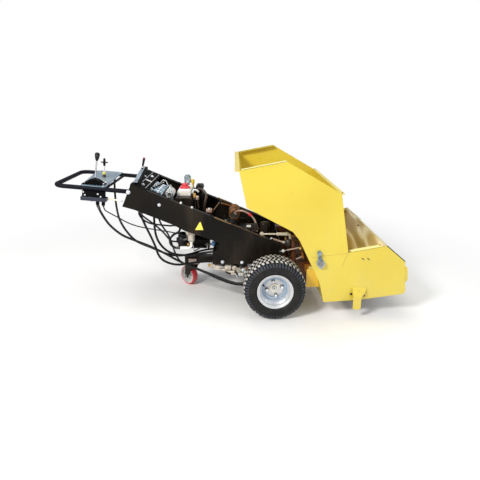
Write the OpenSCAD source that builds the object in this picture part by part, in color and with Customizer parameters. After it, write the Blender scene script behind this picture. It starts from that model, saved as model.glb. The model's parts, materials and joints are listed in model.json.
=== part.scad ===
// Small wheeled asphalt paver that is walked behind: a black sheet frame with an engine and
// hydraulics, a yellow hopper with a screed box, two driven wheels and one swivelling castor.
// Origin on the ground under the middle of the machine, +X towards the screed box, +Z up.
// Sections and routes are written from the axle of the driven wheels and from the ground.

/* [Driven wheels] */
// Outer diameter of the tyre
tyre_d = 406; // [380:1:430]
// Width of the tyre over its sidewalls
tyre_w = 190; // [180:1:200]
// Diameter of the rim over its flanges
rim_d = 234; // [224:1:240]
// Distance from the middle of the machine to the middle of a tyre
wheel_y = 475; // [468:1:485]
// Pitch circle diameter of the four wheel studs
stud_pcd = 101.6; // [98:0.1:114]
// Diameter of a wheel stud
stud_d = 12; // [10:1:13]
// Diameter of the shaft that carries a wheel
wheel_shaft_d = 35; // [25:1:40]
// Diameter of the hydraulic wheel motor
motor_d = 110; // [90:1:130]

/* [Castor] */
// Diameter of the castor wheel
castor_d = 150; // [140:1:160]
// Width of the castor wheel
castor_w = 48; // [40:1:52]
// Distance of the swivel pin behind the axle of the driven wheels
castor_back = 580; // [560:1:620]
// Trail of the castor wheel behind its swivel pin
castor_trail = 50; // [40:1:60]
// Angle that the castor is turned to as the machine stands
castor_turn = -43; // [-180:1:180]
// Height of the castor's mounting plate over the ground
castor_h = 196; // [190:1:206]

/* [Frame] */
// Distance between the outer faces of the frame's side plates
frame_w = 600; // [560:1:640]
// Thickness of a side plate
plate_t = 6; // [4:0.5:10]
// Height of the frame's lower edge over the ground
frame_floor = 292; // [286:1:300]
// Width of the flange along the upper edge of a side plate
plate_flange = 30; // [20:1:40]
// Side of the square axle beam
beam_s = 70; // [60:1:80]
// Thickness of the frame's floor sheets
floor_t = 6; // [4:0.5:8]

/* [Handlebar] */
// Diameter of the handlebar tube
bar_d = 30; // [25:1:34]
// Length of the handlebar from its fixing to the middle of its grip
bar_l = 498; // [470:1:540]
// Rise angle of the handlebar
bar_rise = 5.3; // [0:0.1:10]
// Bend radius of the handlebar's corners
bar_bend = 62; // [50:1:90]

/* [Hopper] */
// Width of the hopper over its side sheets
hopper_w = 1000; // [960:1:1020]
// Thickness of the hopper's sheets
sheet_t = 5; // [3:0.5:6]
// How far the lip of the front wall reaches forward
front_lip = 20; // [10:1:30]
// Width of the flanges along the sheets' upper edges
hopper_flange = 45; // [30:1:60]
// Thickness of the screed plate
screed_t = 10; // [6:1:12]

/* [Auger] */
// Diameter of the auger's flights
auger_d = 96; // [80:1:98]
// Diameter of the auger's shaft
auger_shaft_d = 34; // [25:1:40]
// Pitch of the auger's flights
auger_pitch = 110; // [90:1:140]
// Diameter of the auger's bearing housings
bearing_d = 50; // [46:1:60]

/* [Hoses] */
// Outer diameter of the hydraulic hoses
hose_d = 16; // [12:1:18]
// Outer diameter of the control cable
cable_d = 8; // [6:1:10]

/* [Hidden] */

// Clearances: faces that lie against each other, and a shaft in its bore
seat = 0.3;
run_fit = 0.05;
// How far a folded flange is let into its sheet
fold = 1;
round_fn = 64;
hidden_eps = 1;

// Points of the frame's side plate, measured from the axle: X along, Z up
frame_rear_top = [-944, 857];
frame_front_top = [68, 434];
frame_rear_low = [-1010, 706];
frame_leg_top = [-363, 445];
frame_leg_rear = -413;
frame_front = 66;

// Points of the hopper and screed box's side sheet
hop_rear_top = [-232, 977];
hop_peak = [60, 1033];
hop_front_top = [405, 833];
hop_front_low = [470, 445];
box_top_front = [714, 490];
box_front_high = [842, 382];
box_front_low = [863, 178];
box_front_turn = [859, 165];
box_base_front = [847, 157];
box_base_knee = [570, 116];
box_base_rear = [326, 100];
hop_rear_low = [298, 230];
hop_rear_mid = [155, 528];
hop_slope_end = [109, 588];
hop_rear_knee = [-183, 745];
channel_out = 19;
channel_z = [237, 254, 337, 356];

// Where the handlebar is fixed to the frame, and the whole length
bar_fix = [-960, 803];
bar_y = frame_w / 2 - plate_t - bar_d / 2 - seat;
axle_z = tyre_d / 2;
rear_end = bar_fix[0] - bar_l * cos(bar_rise) - bar_d / 2;
front_end = front_x(channel_z[1]) + channel_out;
axle_x = -(rear_end + front_end) / 2;
plate_in = frame_w / 2 - plate_t;
side_in = hopper_w / 2 - sheet_t;
auger_at = [292, 380];
flight_from = 20;
flight_gap = 35;
motor_in = 255;
motor_out = 368;
shaft_end = 299;
rim_r = rim_d / 2;
bead_r = rim_r - 13;

function front_x(z) = box_front_high[0]
    + (box_front_high[1] - z) * (box_front_low[0] - box_front_high[0])
    / (box_front_high[1] - box_front_low[1]);
function rear_x(z) = z >= hop_rear_low[1]
    ? line_x(hop_rear_mid, hop_rear_low, z) : line_x(hop_rear_low, box_base_rear, z);
function line_x(a, b, z) = a[0] + (z - a[1]) * (b[0] - a[0]) / (b[1] - a[1]);
function line_z(a, b, x) = a[1] + (x - a[0]) * (b[1] - a[1]) / (b[0] - a[0]);
deck_rear = [-1000, 716];
deck_front = [-425, 476];
function deck_z(x) = line_z(deck_rear, deck_front, x);
deck_n = unit([deck_rear[1] - deck_front[1], 0, deck_front[0] - deck_rear[0]]);
function under_z(x) = deck_z(x) - floor_t - seat;
function on_deck(x) = deck_z(x) + seat;
function base_z(x) = x < box_base_knee[0] ? line_z(box_base_rear, box_base_knee, x)
    : line_z(box_base_knee, box_base_front, x);

// A line of points moved sideways by t, to the left of its direction, with mitred corners
function unit(v) = v / norm(v);
function left_of(v) = [-v[1], v[0]];
function seg_n(pts, i) = left_of(unit(pts[i + 1] - pts[i]));
function moved(pts, t) = [for (i = [0 : len(pts) - 1])
    let (last = len(pts) - 1)
    let (a = seg_n(pts, max(i - 1, 0)))
    let (b = seg_n(pts, min(i, last - 1)))
    pts[i] + t * (a + b) / (1 + a * b)];
function band(pts, t) = concat(pts, turned(moved(pts, t)));
function turned(v) = [for (i = [len(v) - 1 : -1 : 0]) v[i]];

// A smooth curve through chosen points, and the rings of a tube along it
function curve_at(p, i, t) =
    let (a = p[max(i - 1, 0)], b = p[i], c = p[i + 1], d = p[min(i + 2, len(p) - 1)])
    0.5 * (2 * b + (c - a) * t + (2 * a - 5 * b + 4 * c - d) * t * t
    + (3 * b - a - 3 * c + d) * t * t * t);
function route(p, n) = [for (k = [0 : n])
    let (s = k * (len(p) - 1) / n, i = min(floor(s), len(p) - 2)) curve_at(p, i, s - i)];
function tangent(r, k) = unit(r[min(k + 1, len(r) - 1)] - r[max(k - 1, 0)]);
function ring(c, t, rad, sides) =
    let (u = unit(cross(t, [0, 1, 0])), v = cross(t, u))
    [for (j = [0 : sides - 1])
        c + rad * (cos(j * 360 / sides) * u + sin(j * 360 / sides) * v)];

module tube(points, d, rings, first, last) {
    sides = 8;
    path = route(points, rings - 1);
    verts = [for (k = [0 : rings - 1]) each ring(path[k],
        k == 0 ? first : k == rings - 1 ? last : tangent(path, k), d / 2, sides)];
    walls = [for (k = [0 : rings - 2], j = [0 : sides - 1])
        let (a = k * sides + j, b = k * sides + (j + 1) % sides)
        each [[a, b, b + sides], [a, b + sides, a + sides]]];
    start = [for (j = [sides - 1 : -1 : 0]) j];
    end = [for (j = [0 : sides - 1]) (rings - 1) * sides + j];
    polyhedron(verts, concat(walls, [start, end]));
}

module placed() {
    translate([axle_x, 0, 0]) children();
}

module both() {
    children();
    mirror([0, 1, 0]) children();
}

// An outline in X and Z, between two places across the machine
module across(points, y0, y1) {
    translate([0, y1, 0]) rotate([90, 0, 0]) linear_extrude(y1 - y0) polygon(points);
}

// A block between two corners
module block(a, b) {
    translate(a) cube(b - a);
}

// A cylinder that lies across the machine, at X and Z, between two places
module roll(at, r, y0, y1) {
    translate([at[0], y1, at[1]]) rotate([90, 0, 0]) cylinder(r = r, h = y1 - y0, $fn = round_fn);
}

// A round rod between two points
module rod(a, b, r) {
    v = b - a;
    translate(a) rotate([0, acos(v[2] / norm(v)), atan2(v[1], v[0])])
        cylinder(r = r, h = norm(v), $fn = 32);
}

// A section in radius and width, turned about the axle of a wheel that lies across
module turned_about(at, y) {
    translate([at[0], y, at[1]]) rotate([-90, 0, 0]) rotate_extrude($fn = round_fn) children();
}

// The tilted plane of the handlebar: X back along the tubes, Z square to them
module on_bar() {
    translate([bar_fix[0], 0, bar_fix[1]]) rotate([0, bar_rise, 0]) children();
}

// Frame

side_outline = [
    frame_rear_top, frame_front_top, [82, frame_floor], [frame_leg_rear, frame_floor],
    [frame_leg_rear, 382], [-368, 396], frame_leg_top, [-422, 470],
    [-607, 538], [-683, 582], [-921, 680], frame_rear_low
];

module side_plates() {
    flange = band(moved([frame_front_top, frame_rear_top], fold), plate_t);
    color("#202022") placed() both() {
        across(side_outline, plate_in, frame_w / 2);
        across(flange, plate_in - plate_flange, plate_in + fold);
    }
}

module frame_floor_sheets() {
    color("#1c1c1e") placed() {
        block([frame_leg_rear, -plate_in, frame_floor],
            [frame_front, plate_in, frame_floor + floor_t]);
        across([[deck_rear[0], deck_rear[1] - floor_t], [deck_front[0], deck_front[1] - floor_t],
            deck_front, deck_rear], -plate_in, plate_in);
    }
}

module frame_walls() {
    floor_top = frame_floor + floor_t;
    wall_top = 420;
    color("#1c1c1e") placed() {
        block([frame_front - plate_t, -plate_in, floor_top], [frame_front, plate_in, wall_top]);
        block([frame_leg_rear, -plate_in, floor_top],
            [frame_leg_rear + plate_t, plate_in, 372]);
    }
}

module axle_beam() {
    half = beam_s / 2;
    color("#1a1a1c") placed() {
        block([-half, -motor_in, axle_z - half], [half, motor_in, axle_z + half]);
        both() block([-half + 5, 200, axle_z + half], [half - 5, 250, frame_floor]);
    }
}

module castor_beam() {
    half = 30;
    beam_h = 50;
    color("#1a1a1c") placed() {
        block([-castor_back - 60, -half, castor_h], [-beam_s / 2, half, castor_h + beam_h]);
        block([frame_leg_rear + 10, -half, castor_h + beam_h],
            [frame_leg_rear + 90, half, frame_floor]);
    }
}

module wheel_motor() {
    difference() {
        union() {
            roll([0, axle_z], motor_d / 2, motor_in, motor_out);
            block([-60, motor_in, axle_z - 60], [60, motor_in + 14, axle_z + 60]);
            translate([0, 330, axle_z - 20]) rotate([0, -90, 0])
                cylinder(r = 13, h = motor_d / 2 + 22, $fn = 32);
        }
        roll([0, axle_z], wheel_shaft_d / 2 + run_fit, shaft_end, motor_out + hidden_eps);
    }
}

module wheel_motors() {
    color("#8f9294") placed() both() wheel_motor();
}

// Castor

module castor_mount() {
    pin_r = 8;
    color("#1f1f21") placed() translate([-castor_back, 0, 0]) {
        block([-52, -42, castor_h - 6], [52, 42, castor_h]);
        translate([0, 0, castor_h - 14]) cylinder(r = 34, h = 8, $fn = round_fn);
        translate([0, 0, castor_h - 38]) cylinder(r = pin_r, h = 24, $fn = round_fn);
    }
}

module at_castor() {
    placed() translate([-castor_back, 0, 0]) rotate([0, 0, castor_turn]) children();
}

module castor_fork() {
    leg_in = castor_w / 2 + 4;
    leg_t = 5;
    crown_top = castor_h - 14 - seat;
    color("#2a2a2c") at_castor() difference() {
        union() {
            translate([0, 0, crown_top - 8]) cylinder(r = 36, h = 8, $fn = round_fn);
            both() {
                block([-castor_trail - 6, leg_in, castor_d + 12], [22, leg_in + leg_t, crown_top]);
                across([[22, castor_d + 14], [-castor_trail + 14, castor_d / 2 - 16],
                    [-castor_trail - 14, castor_d / 2 - 16],
                    [-castor_trail - 14, castor_d / 2 + 10], [-castor_trail - 6, castor_d + 14]],
                    leg_in, leg_in + leg_t);
            }
            block([-30, -leg_in - leg_t, crown_top - 8], [22, leg_in + leg_t, crown_top]);
            roll([-castor_trail, castor_d / 2], 6, -leg_in - leg_t - 6, leg_in + leg_t + 6);
        }
        translate([0, 0, crown_top - 20]) cylinder(r = 8 + run_fit, h = 40, $fn = round_fn);
    }
}

castor_tread = 10;

module castor_tyre() {
    h = castor_w / 2;
    r = castor_d / 2;
    root = r - castor_tread;
    color("#d63a46") at_castor() turned_about([-castor_trail, r], 0) polygon([
        [root, -h + 2], [root + 2, -h], [r - 5, -h], [r - 1.5, -h + 6], [r, -h + 14],
        [r, h - 14], [r - 1.5, h - 6], [r - 5, h], [root + 2, h], [root, h - 2]]);
}

module castor_core() {
    h = castor_w / 2;
    r = castor_d / 2 - castor_tread;
    color("#c8c9c7") at_castor() turned_about([-castor_trail, castor_d / 2], 0) polygon([
        [6 + run_fit, -h - 2], [16, -h - 2], [18, -10], [r - 8, -8], [r - 6, -h + 2],
        [r, -h + 2], [r, h - 2], [r - 6, h - 2], [r - 8, 8], [18, 10], [16, h + 2],
        [6 + run_fit, h + 2]]);
}

// Handlebar and controls, in the tilted plane

brace_at = -170;

module handlebar() {
    r = bar_d / 2;
    straight = bar_l - bar_bend;
    fixing = 55;
    color("#1b1c20") placed() on_bar() {
        both() {
            translate([-straight, bar_y, 0]) rotate([0, 90, 0])
                cylinder(r = r, h = straight + fixing, $fn = 32);
            translate([-straight, bar_y - bar_bend, 0]) rotate([0, 0, 90])
                rotate_extrude(angle = 90, $fn = round_fn) translate([bar_bend, 0]) circle(r, $fn = 32);
        }
        translate([-bar_l, bar_y - bar_bend, 0]) rotate([90, 0, 0])
            cylinder(r = r, h = 2 * (bar_y - bar_bend), $fn = 32);
        translate([brace_at, bar_y, 0]) rotate([90, 0, 0])
            cylinder(r = 9, h = 2 * bar_y, $fn = 32);
    }
}

box_u = [-320, -175];
box_half = 20;
box_drop = 98;
plug_u = [-210, -172];
plug_len = 12;

module control_box() {
    top = -bar_d / 2 - seat;
    waist = top - 44;
    round_r = 14;
    foot_u = [box_u[0] - 12, box_u[1] + 12];
    foot_half = box_half + 6;
    color("#17181b") placed() on_bar() translate([0, -bar_y, 0]) {
        block([box_u[0], -box_half, waist - fold], [box_u[1], box_half, top]);
        block([foot_u[0], -foot_half, -box_drop], [foot_u[1], foot_half, waist - round_r]);
        block([foot_u[0] + round_r, -foot_half, -box_drop], [foot_u[1] - round_r, foot_half, waist]);
        for (u = [foot_u[0] + round_r, foot_u[1] - round_r])
            translate([u, foot_half, waist - round_r]) rotate([90, 0, 0])
                cylinder(r = round_r, h = 2 * foot_half, $fn = 32);
        for (u = plug_u)
            translate([u, 0, -box_drop - plug_len]) cylinder(r = 11, h = plug_len + 2, $fn = 32);
    }
}

shelf_w = bar_d / 2 + seat;
shelf_t = 4;
dome_r = 75.6;
dome_u = -250;
dome_h = 36;
dome_foot = shelf_w + shelf_t + seat;

module lever_quadrant() {
    v = [-bar_y + 25, -bar_y + 85];
    axis_w = dome_foot + dome_h - dome_r;
    rim_t = 5;
    color("#1a1b1e") placed() on_bar() {
        block([dome_u - 74, v[0] - 4, dome_foot], [dome_u + 74, v[1] + 4, dome_foot + 4]);
        intersection() {
            union() {
                translate([dome_u, v[1], axis_w]) rotate([90, 0, 0])
                    cylinder(r = dome_r - 2, h = v[1] - v[0], $fn = 96);
                for (y = [v[0] + rim_t, v[1]])
                    translate([dome_u, y, axis_w]) rotate([90, 0, 0])
                        cylinder(r = dome_r, h = rim_t, $fn = 96);
            }
            block([dome_u - dome_r, v[0], dome_foot + 1], [dome_u + dome_r, v[1], dome_foot + dome_r]);
        }
    }
}

module drive_lever() {
    foot = dome_foot + dome_h - 2 + seat;
    lean = 5;
    stem = 128;
    color("#202124") placed() on_bar() translate([dome_u + 5, -bar_y + 55, foot])
        rotate([0, lean, 0]) {
            translate([0, 0, -0.2]) cylinder(r = 9, h = 9, $fn = 32);
            translate([0, 0, 4]) cylinder(r = 5, h = stem, $fn = 32);
            translate([0, 0, stem]) rotate_extrude($fn = 32) polygon([[0, 0], [9, 0], [12, 8],
                [16, 32], [16, 40], [13, 48], [7, 52], [0, 53]]);
        }
}

module control_shelf() {
    over = bar_y + 10;
    color("#9fb2bf") placed() on_bar() translate([0, 0, shelf_w]) linear_extrude(shelf_t)
        polygon([[-380, over - 12], [-370, over], [-196, over], [-188, over - 10], [-160, -over + 10],
            [-168, -over], [-312, -over], [-322, -over + 12]]);
}

module feed_lever() {
    foot = shelf_w + shelf_t + seat;
    half = 25;
    color("#26262a") placed() on_bar() translate([-262, 40, foot]) {
        cylinder(r = 15, h = 5, $fn = 32);
        cylinder(r = 12, h = 34, $fn = 32);
        translate([0, 0, 33]) cylinder(r = 4.5, h = 60, $fn = 32);
        translate([0, 0, 84]) cylinder(r = 8.5, h = 54, $fn = 32);
        for (a = [0, 90])
            rotate([0, 0, a]) translate([half, 0, 108]) rotate([0, -90, 0])
                cylinder(r = 5, h = 2 * half, $fn = 32);
    }
}

// Dash at the operator's end of the frame

dash_front = -845;
dash_half = plate_in - bar_d - 4;
dash_t = 3;
strip_near = [-935, 862];
strip_far = [-985, 888];
strip_w = 27;

// A skewed wedge across the dash, between two heights over its sloping edge
module dash_wedge(reach, up) {
    intersection() {
        linear_extrude(1000) polygon([[strip_near[0], -dash_half], [strip_far[0], dash_half],
            [strip_far[0] + reach, dash_half], [strip_near[0] + reach, -dash_half]]);
        translate([-1100, 0, 0]) rotate([90, 0, 90]) linear_extrude(300) polygon([
            [-dash_half, strip_near[1] + up[0]], [dash_half, strip_far[1] + up[0]],
            [dash_half, strip_far[1] + up[1]], [-dash_half, strip_near[1] + up[1]]]);
    }
}

module dash_console() {
    rear_foot = [-1002, 722];
    knob_r = 9;
    top = moved([frame_front_top, frame_rear_top], fold - seat - dash_t);
    rear = frame_rear_top - [2, 0];
    front_z = line_z(top[0], top[1], dash_front);
    color("#19191b") placed() {
        difference() {
            across(band([[dash_front, front_z - 14], [dash_front, front_z],
                [rear[0], line_z(top[0], top[1], rear[0])], rear_foot], dash_t),
                -plate_in + seat, plate_in - seat);
            both() {
                block([rear_foot[0] - 20, dash_half, 600], [rear[0] + 4, plate_in, 845]);
                across([[dash_front - 30, 700], [dash_front + 10, 700],
                    [dash_front + 10, line_z(top[0], top[1], dash_front + 10) - dash_t * 1.08],
                    [dash_front - 30, line_z(top[0], top[1], dash_front - 30) - dash_t * 1.08]],
                    plate_in - plate_flange - 2, plate_in);
            }
        }
        dash_wedge(44, [-42, 0]);
        for (at = [[-10, 12], [90, 10]])
            let (y = at[0], x = -960 - y * 0.1)
            translate([x - at[1], y, 855 + y * 0.05]) rotate([0, 90, 0])
                cylinder(r = knob_r, h = 30, $fn = 32);
    }
}

module dash_strip() {
    color("#a9adad") placed() dash_wedge(strip_w, [seat, 3.5]);
}

module throttle_lever() {
    foot = [-962, 150, line_z([-dash_half, strip_near[1]], [dash_half, strip_far[1]], 150) + 4];
    color("#2a2a2c") placed() translate(foot) rotate([0, 14, 0]) {
        translate([0, 0, 2]) cylinder(r = 8, h = 8, $fn = 32);
        translate([0, 0, 5]) cylinder(r = 3.5, h = 50, $fn = 32);
        translate([0, 0, 48]) cylinder(r1 = 5, r2 = 9, h = 34, $fn = 32);
        translate([0, 0, 82]) cylinder(r1 = 9, r2 = 5, h = 8, $fn = 32);
    }
}

// Hydraulics and engine between the side plates

// On the sloping floor at X: X down along the floor, Z square to it
deck_fall = atan2(deck_rear[1] - deck_front[1], deck_front[0] - deck_rear[0]);

module on_floor(x) {
    translate([x, 0, on_deck(x)]) rotate([0, deck_fall, 0]) children();
}

valve_at = -912;
valve_l = 92;
valve_half = 135;
valve_h = 66;
spool_step = 54;
spool_r = 16;
spool_z = 118;

module valve_block() {
    color("#9aa4aa") placed() on_floor(valve_at) {
        block([0, -valve_half, 0], [valve_l, valve_half, valve_h]);
        for (i = [-2 : 2])
            translate([0, i * spool_step, 0]) {
                block([6, -20, valve_h - fold], [valve_l - 6, 20, spool_z]);
                translate([-16, 0, spool_z]) rotate([0, 90, 0])
                    cylinder(r = spool_r, h = valve_l + 40, $fn = 32);
                translate([-26, 0, spool_z]) rotate([0, 90, 0])
                    cylinder(r = spool_r - 5, h = valve_l + 62, $fn = 32);
                translate([valve_l / 2 + 8 * i, 0, spool_z]) cylinder(r = 10, h = 28, $fn = 6);
            }
        for (y = [-valve_half, valve_half - 12])
            block([-6, y, 0], [valve_l + 6, y + 12, 30]);
    }
}

module gear_pump() {
    at = [-706, 770];
    foot = [-734, -692];
    y = -186;
    color("#c3c5c6") placed() {
        across([[foot[0], on_deck(foot[0])], [foot[1], on_deck(foot[1])],
            [foot[1], at[1]], [foot[0], at[1]]], y + 22, y + 62);
        roll(at, 31, y, y + 66);
        roll(at, 27, y - 8, y + 72);
        roll(at, 16, y - 26, y);
        translate([at[0], y + 42, at[1]]) cylinder(r = 12, h = 40, $fn = 32);
    }
}

tank_x = [-680, -562];
tank_top = 738;
tank_half = 190;
white_half = 112;
white_top = 771;

module oil_tank() {
    rib = 6;
    color("#17181a") placed() {
        across([[tank_x[0], on_deck(tank_x[0])], [tank_x[1], on_deck(tank_x[1])],
            [tank_x[1], tank_top - 10], [tank_x[1] - 10, tank_top], [tank_x[0] + 10, tank_top],
            [tank_x[0], tank_top - 10]], -tank_half, tank_half);
        for (y = [-tank_half + 12, -rib / 2, tank_half - 12 - rib])
            across([[tank_x[0] - rib, on_deck(tank_x[0] - rib) + 2],
                [tank_x[1] + rib, on_deck(tank_x[1] + rib) + 2],
                [tank_x[1] + rib, tank_top - 26], [tank_x[0] - rib, tank_top - 26]], y, y + rib);
    }
}

module fuel_tank() {
    foot = tank_top + seat;
    shrink = 8;
    color("#ecebe6") placed() {
        across([[tank_x[0] + 12, foot], [tank_x[1] - 12, foot], [tank_x[1] - 12, white_top - shrink],
            [tank_x[1] - 12 - shrink, white_top], [tank_x[0] + 12 + shrink, white_top],
            [tank_x[0] + 12, white_top - shrink]], -white_half, white_half);
        translate([-621, -20, white_top - 1]) cylinder(r = 41, h = 5, $fn = round_fn);
    }
}

module tank_cap() {
    color("#e0606c") placed() translate([-621, -20, white_top + 4 + seat])
        rotate_extrude($fn = round_fn) polygon([[0, 0], [37, 0], [38, 3], [38, 9], [34, 12],
            [24, 13], [23, 28], [19, 34], [8, 36], [0, 36]]);
}

module filter_head() {
    color("#8ba0ae") placed() translate([-619, 152, tank_top + seat]) {
        cylinder(r = 20, h = 6, $fn = 32);
        cylinder(r = 14, h = 46, $fn = 32);
        translate([0, 0, 44]) cylinder(r = 25, h = 50, $fn = round_fn);
        translate([0, 0, 93]) cylinder(r = 17, h = 10, $fn = 32);
    }
}

module filler_cap() {
    color("#e8cf52") placed() translate([-580, 152, tank_top + seat]) {
        cylinder(r = 8, h = 36, $fn = 32);
        translate([0, 0, 34]) cylinder(r = 9, h = 6, $fn = 32);
        translate([0, 0, 38]) cylinder(r = 13, h = 30, $fn = 32);
    }
}

module air_cleaner() {
    x = [-556, -497];
    z = [736, 768];
    y = [90, 196];
    post = -526;
    half = 20;
    color("#1b1b1d") placed() {
        across([[x[0] + 6, z[0]], [x[1] - 6, z[0]], [x[1], z[0] + 8], [x[1] - 3, z[1] - 6],
            [x[1] - 10, z[1]], [x[0] + 10, z[1]], [x[0] + 3, z[1] - 6], [x[0], z[0] + 8]],
            y[0], y[1]);
        across([[post - half, on_deck(post - half)], [post + half, on_deck(post + half)],
            [post + half, z[0] + 2], [post - half, z[0] + 2]], 138, 178);
        translate([post, y[0] + 8, z[1] - 2]) cylinder(r = 8, h = 12, $fn = 32);
    }
}

engine_x = [-372, -105];
crank_at = [-232, 408];
case_half = 112;
case_top = 472;
fan_r = 106;
head_lean = 20;

engine_base = frame_floor + floor_t + seat;
engine_side = [[engine_x[1], engine_base + 60], [engine_x[1] - 8, case_top - 30]];

module engine_block() {
    base = engine_base;
    fins = 4;
    fan_y = [case_half - 2, case_half + 62];
    barrel = 80;
    color("#1d1e20") placed() {
        block([engine_x[0], -case_half - 20, base], [engine_x[1], case_half + 20, base + 24]);
        across([[engine_x[0] + 40, base + 10], [engine_x[1] - 10, base + 10],
            engine_side[0], engine_side[1],
            [engine_x[1] - 60, case_top], [engine_x[0] + 70, case_top],
            [engine_x[0] + 34, case_top - 34], [engine_x[0] + 30, base + 40]],
            -case_half, case_half);
        roll(crank_at, 58, -case_half - 34, -case_half + 2);
        roll(crank_at, 40, -case_half - 44, -case_half - 30);
        translate([crank_at[0], fan_y[0], crank_at[1]]) rotate([-90, 0, 0])
            rotate_extrude($fn = 96) polygon([[0, 0], [fan_r - 8, 0], [fan_r, 8], [fan_r - 4, 34],
                [fan_r - 30, 52], [72, 56], [68, 66], [20, 68], [0, 64]]);
        translate([crank_at[0] - 46, 0, case_top - 30]) rotate([0, -head_lean, 0]) {
            block([-44, -52, 0], [44, 52, barrel]);
            for (i = [0 : fins - 1])
                block([-54, -64, 24 + i * 11], [54, 64, 28 + i * 11]);
            block([-50, -58, barrel - 14], [50, 58, barrel]);
            for (y = [-24, 24])
                translate([0, y, barrel - 2]) cylinder(r = 13, h = 14, $fn = 32);
        }
    }
}

module muffler() {
    at = [-261, 588];
    r = 39;
    y = [-78, 96];
    pipe = [at[0] + 20, 84];
    color("#8a5a3c") placed() {
        translate([at[0], y[0], at[1]]) rotate([-90, 0, 0]) rotate_extrude($fn = round_fn)
            polygon([[0, 0], [r - 12, 0], [r - 3, 5], [r, 12], [r + 2, 16], [r, 20],
                [r, 154], [r + 2, 158], [r, 162], [r - 3, 169], [r - 12, 174], [0, 174]]);
        translate([pipe[0], pipe[1], case_top + seat])
            cylinder(r = 12, h = at[1] - case_top - 25, $fn = 32);
        translate([pipe[0], pipe[1], case_top + seat]) cylinder(r = 19, h = 7, $fn = 32);
    }
}

module spin_filter() {
    at = [-46, -178];
    z = [468, 560];
    foot = [380, 412];
    color("#2c2f31") placed() {
        block([engine_x[1] + seat, at[1] - 14, z[0] - 18], [at[0] + 10, at[1] + 14, z[0] + 1]);
        block([engine_x[1] + seat, at[1] - 14, foot[0]],
            [engine_x[1] + 9, at[1] + 14, z[0] - 2]);
        across([[line_x(engine_side[0], engine_side[1], foot[0]) + seat, foot[0]],
            [engine_x[1] + 9, foot[0]], [engine_x[1] + 9, foot[1]],
            [line_x(engine_side[0], engine_side[1], foot[1]) + seat, foot[1]]],
            at[1] + 4, -case_half + 40);
        translate([at[0], at[1], z[0]]) rotate_extrude($fn = round_fn)
            polygon([[0, 0], [38, 0], [38, 14], [36, 16], [36, z[1] - z[0] - 12],
                [30, z[1] - z[0] - 2], [0, z[1] - z[0]]]);
    }
}

module hydraulic_pipe() {
    z = 487;
    y = -228;
    eye = -69;
    thick = [34, 100];
    bend = 24;
    arm_top = 420;
    color("#d9dadb") placed() {
        difference() {
            roll([eye, z], 15, y - 7, y + 7);
            roll([eye, z], 6, y - 8, y + 8);
        }
        roll([eye, z - 2], 5.5, -plate_in + plate_flange + seat, y + 14);
        rod([eye + 13, y, z], [thick[0] + 1, y, z], 6);
        rod([thick[0], y, z], [thick[1], y, z], 12);
        rod([thick[1] - 1, y, z], [thick[1] + 8, y, z], 15);
        translate([thick[1] + 7, y, z - bend]) rotate([90, 0, 0]) rotate_extrude(angle = 90,
            $fn = round_fn) translate([bend, 0]) circle(10, $fn = 32);
        translate([thick[1] + 7 + bend, y, arm_top + seat])
            cylinder(r = 10, h = z - bend - arm_top - seat + 1, $fn = 32);
        translate([thick[1] + 7 + bend, y, arm_top + seat]) cylinder(r = 14, h = 16, $fn = 6);
    }
}

module drive_pump() {
    color("#a7a9a8") placed() {
        block([-342, -158, 222], [-240, -56, frame_floor - seat]);
        roll([-292, 204], 46, -172, -48);
        roll([-292, 204], 51, -126, -116);
        roll([-292, 204], 51, -96, -86);
        roll([-240, 228], 26, -186, -60);
        roll([-240, 228], 15, -200, -180);
        rod([-341, -105, 240], [-372, -105, 240], 13);
        rod([-341, -105, 240], [-352, -105, 240], 18);
    }
}

cooler_x = [-628, -444];
cooler_at = [-58, 388];
cooler_r = 56;

module oil_cooler() {
    fins = 20;
    fin_r = cooler_r + 9;
    hangers = [-580, -490];
    color("#151617") placed() {
        translate([cooler_x[0], cooler_at[0], cooler_at[1]]) rotate([0, 90, 0]) {
            rotate_extrude($fn = round_fn) polygon([[0, -22], [22, -20], [40, -12], [52, 0],
                [fin_r, 4], [fin_r, 14], [cooler_r - 6, 15],
                [cooler_r - 6, cooler_x[1] - cooler_x[0] - 16],
                [fin_r, cooler_x[1] - cooler_x[0] - 15], [fin_r, cooler_x[1] - cooler_x[0] - 4],
                [fin_r - 12, cooler_x[1] - cooler_x[0]], [0, cooler_x[1] - cooler_x[0]]]);
            for (i = [0 : fins - 1])
                rotate([0, 0, i * 360 / fins]) block([40, -2, 10], [cooler_r + 5, 2,
                    cooler_x[1] - cooler_x[0] - 10]);
        }
        for (x = hangers)
            across([[x - 5, cooler_at[1] + 40], [x + 5, cooler_at[1] + 40], [x + 5, under_z(x + 5)],
                [x - 5, under_z(x - 5)]], cooler_at[0] - 34, cooler_at[0] + 34);
    }
}

filter_at = [-562, 55 - frame_w / 2];
filter_low = 444;

module return_filter() {
    x = filter_at[0];
    head = [x - 27, x + 27];
    color("#b9b9b5") placed() {
        translate([x, filter_at[1], filter_low]) rotate_extrude($fn = round_fn)
            polygon([[0, 0], [18, 0], [23, 5], [24, 44], [28, 46], [28, 54], [0, 54]]);
        across([[head[0], 491], [head[1], 491], [head[1], under_z(head[1])],
            [head[0] - 24, under_z(head[0] - 24)]], filter_at[1] - 20, filter_at[1] + 20);
        translate([head[1] - 2, filter_at[1], 499]) rotate([0, 90, 0]) cylinder(r = 6, h = 12, $fn = 6);
    }
}

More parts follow.
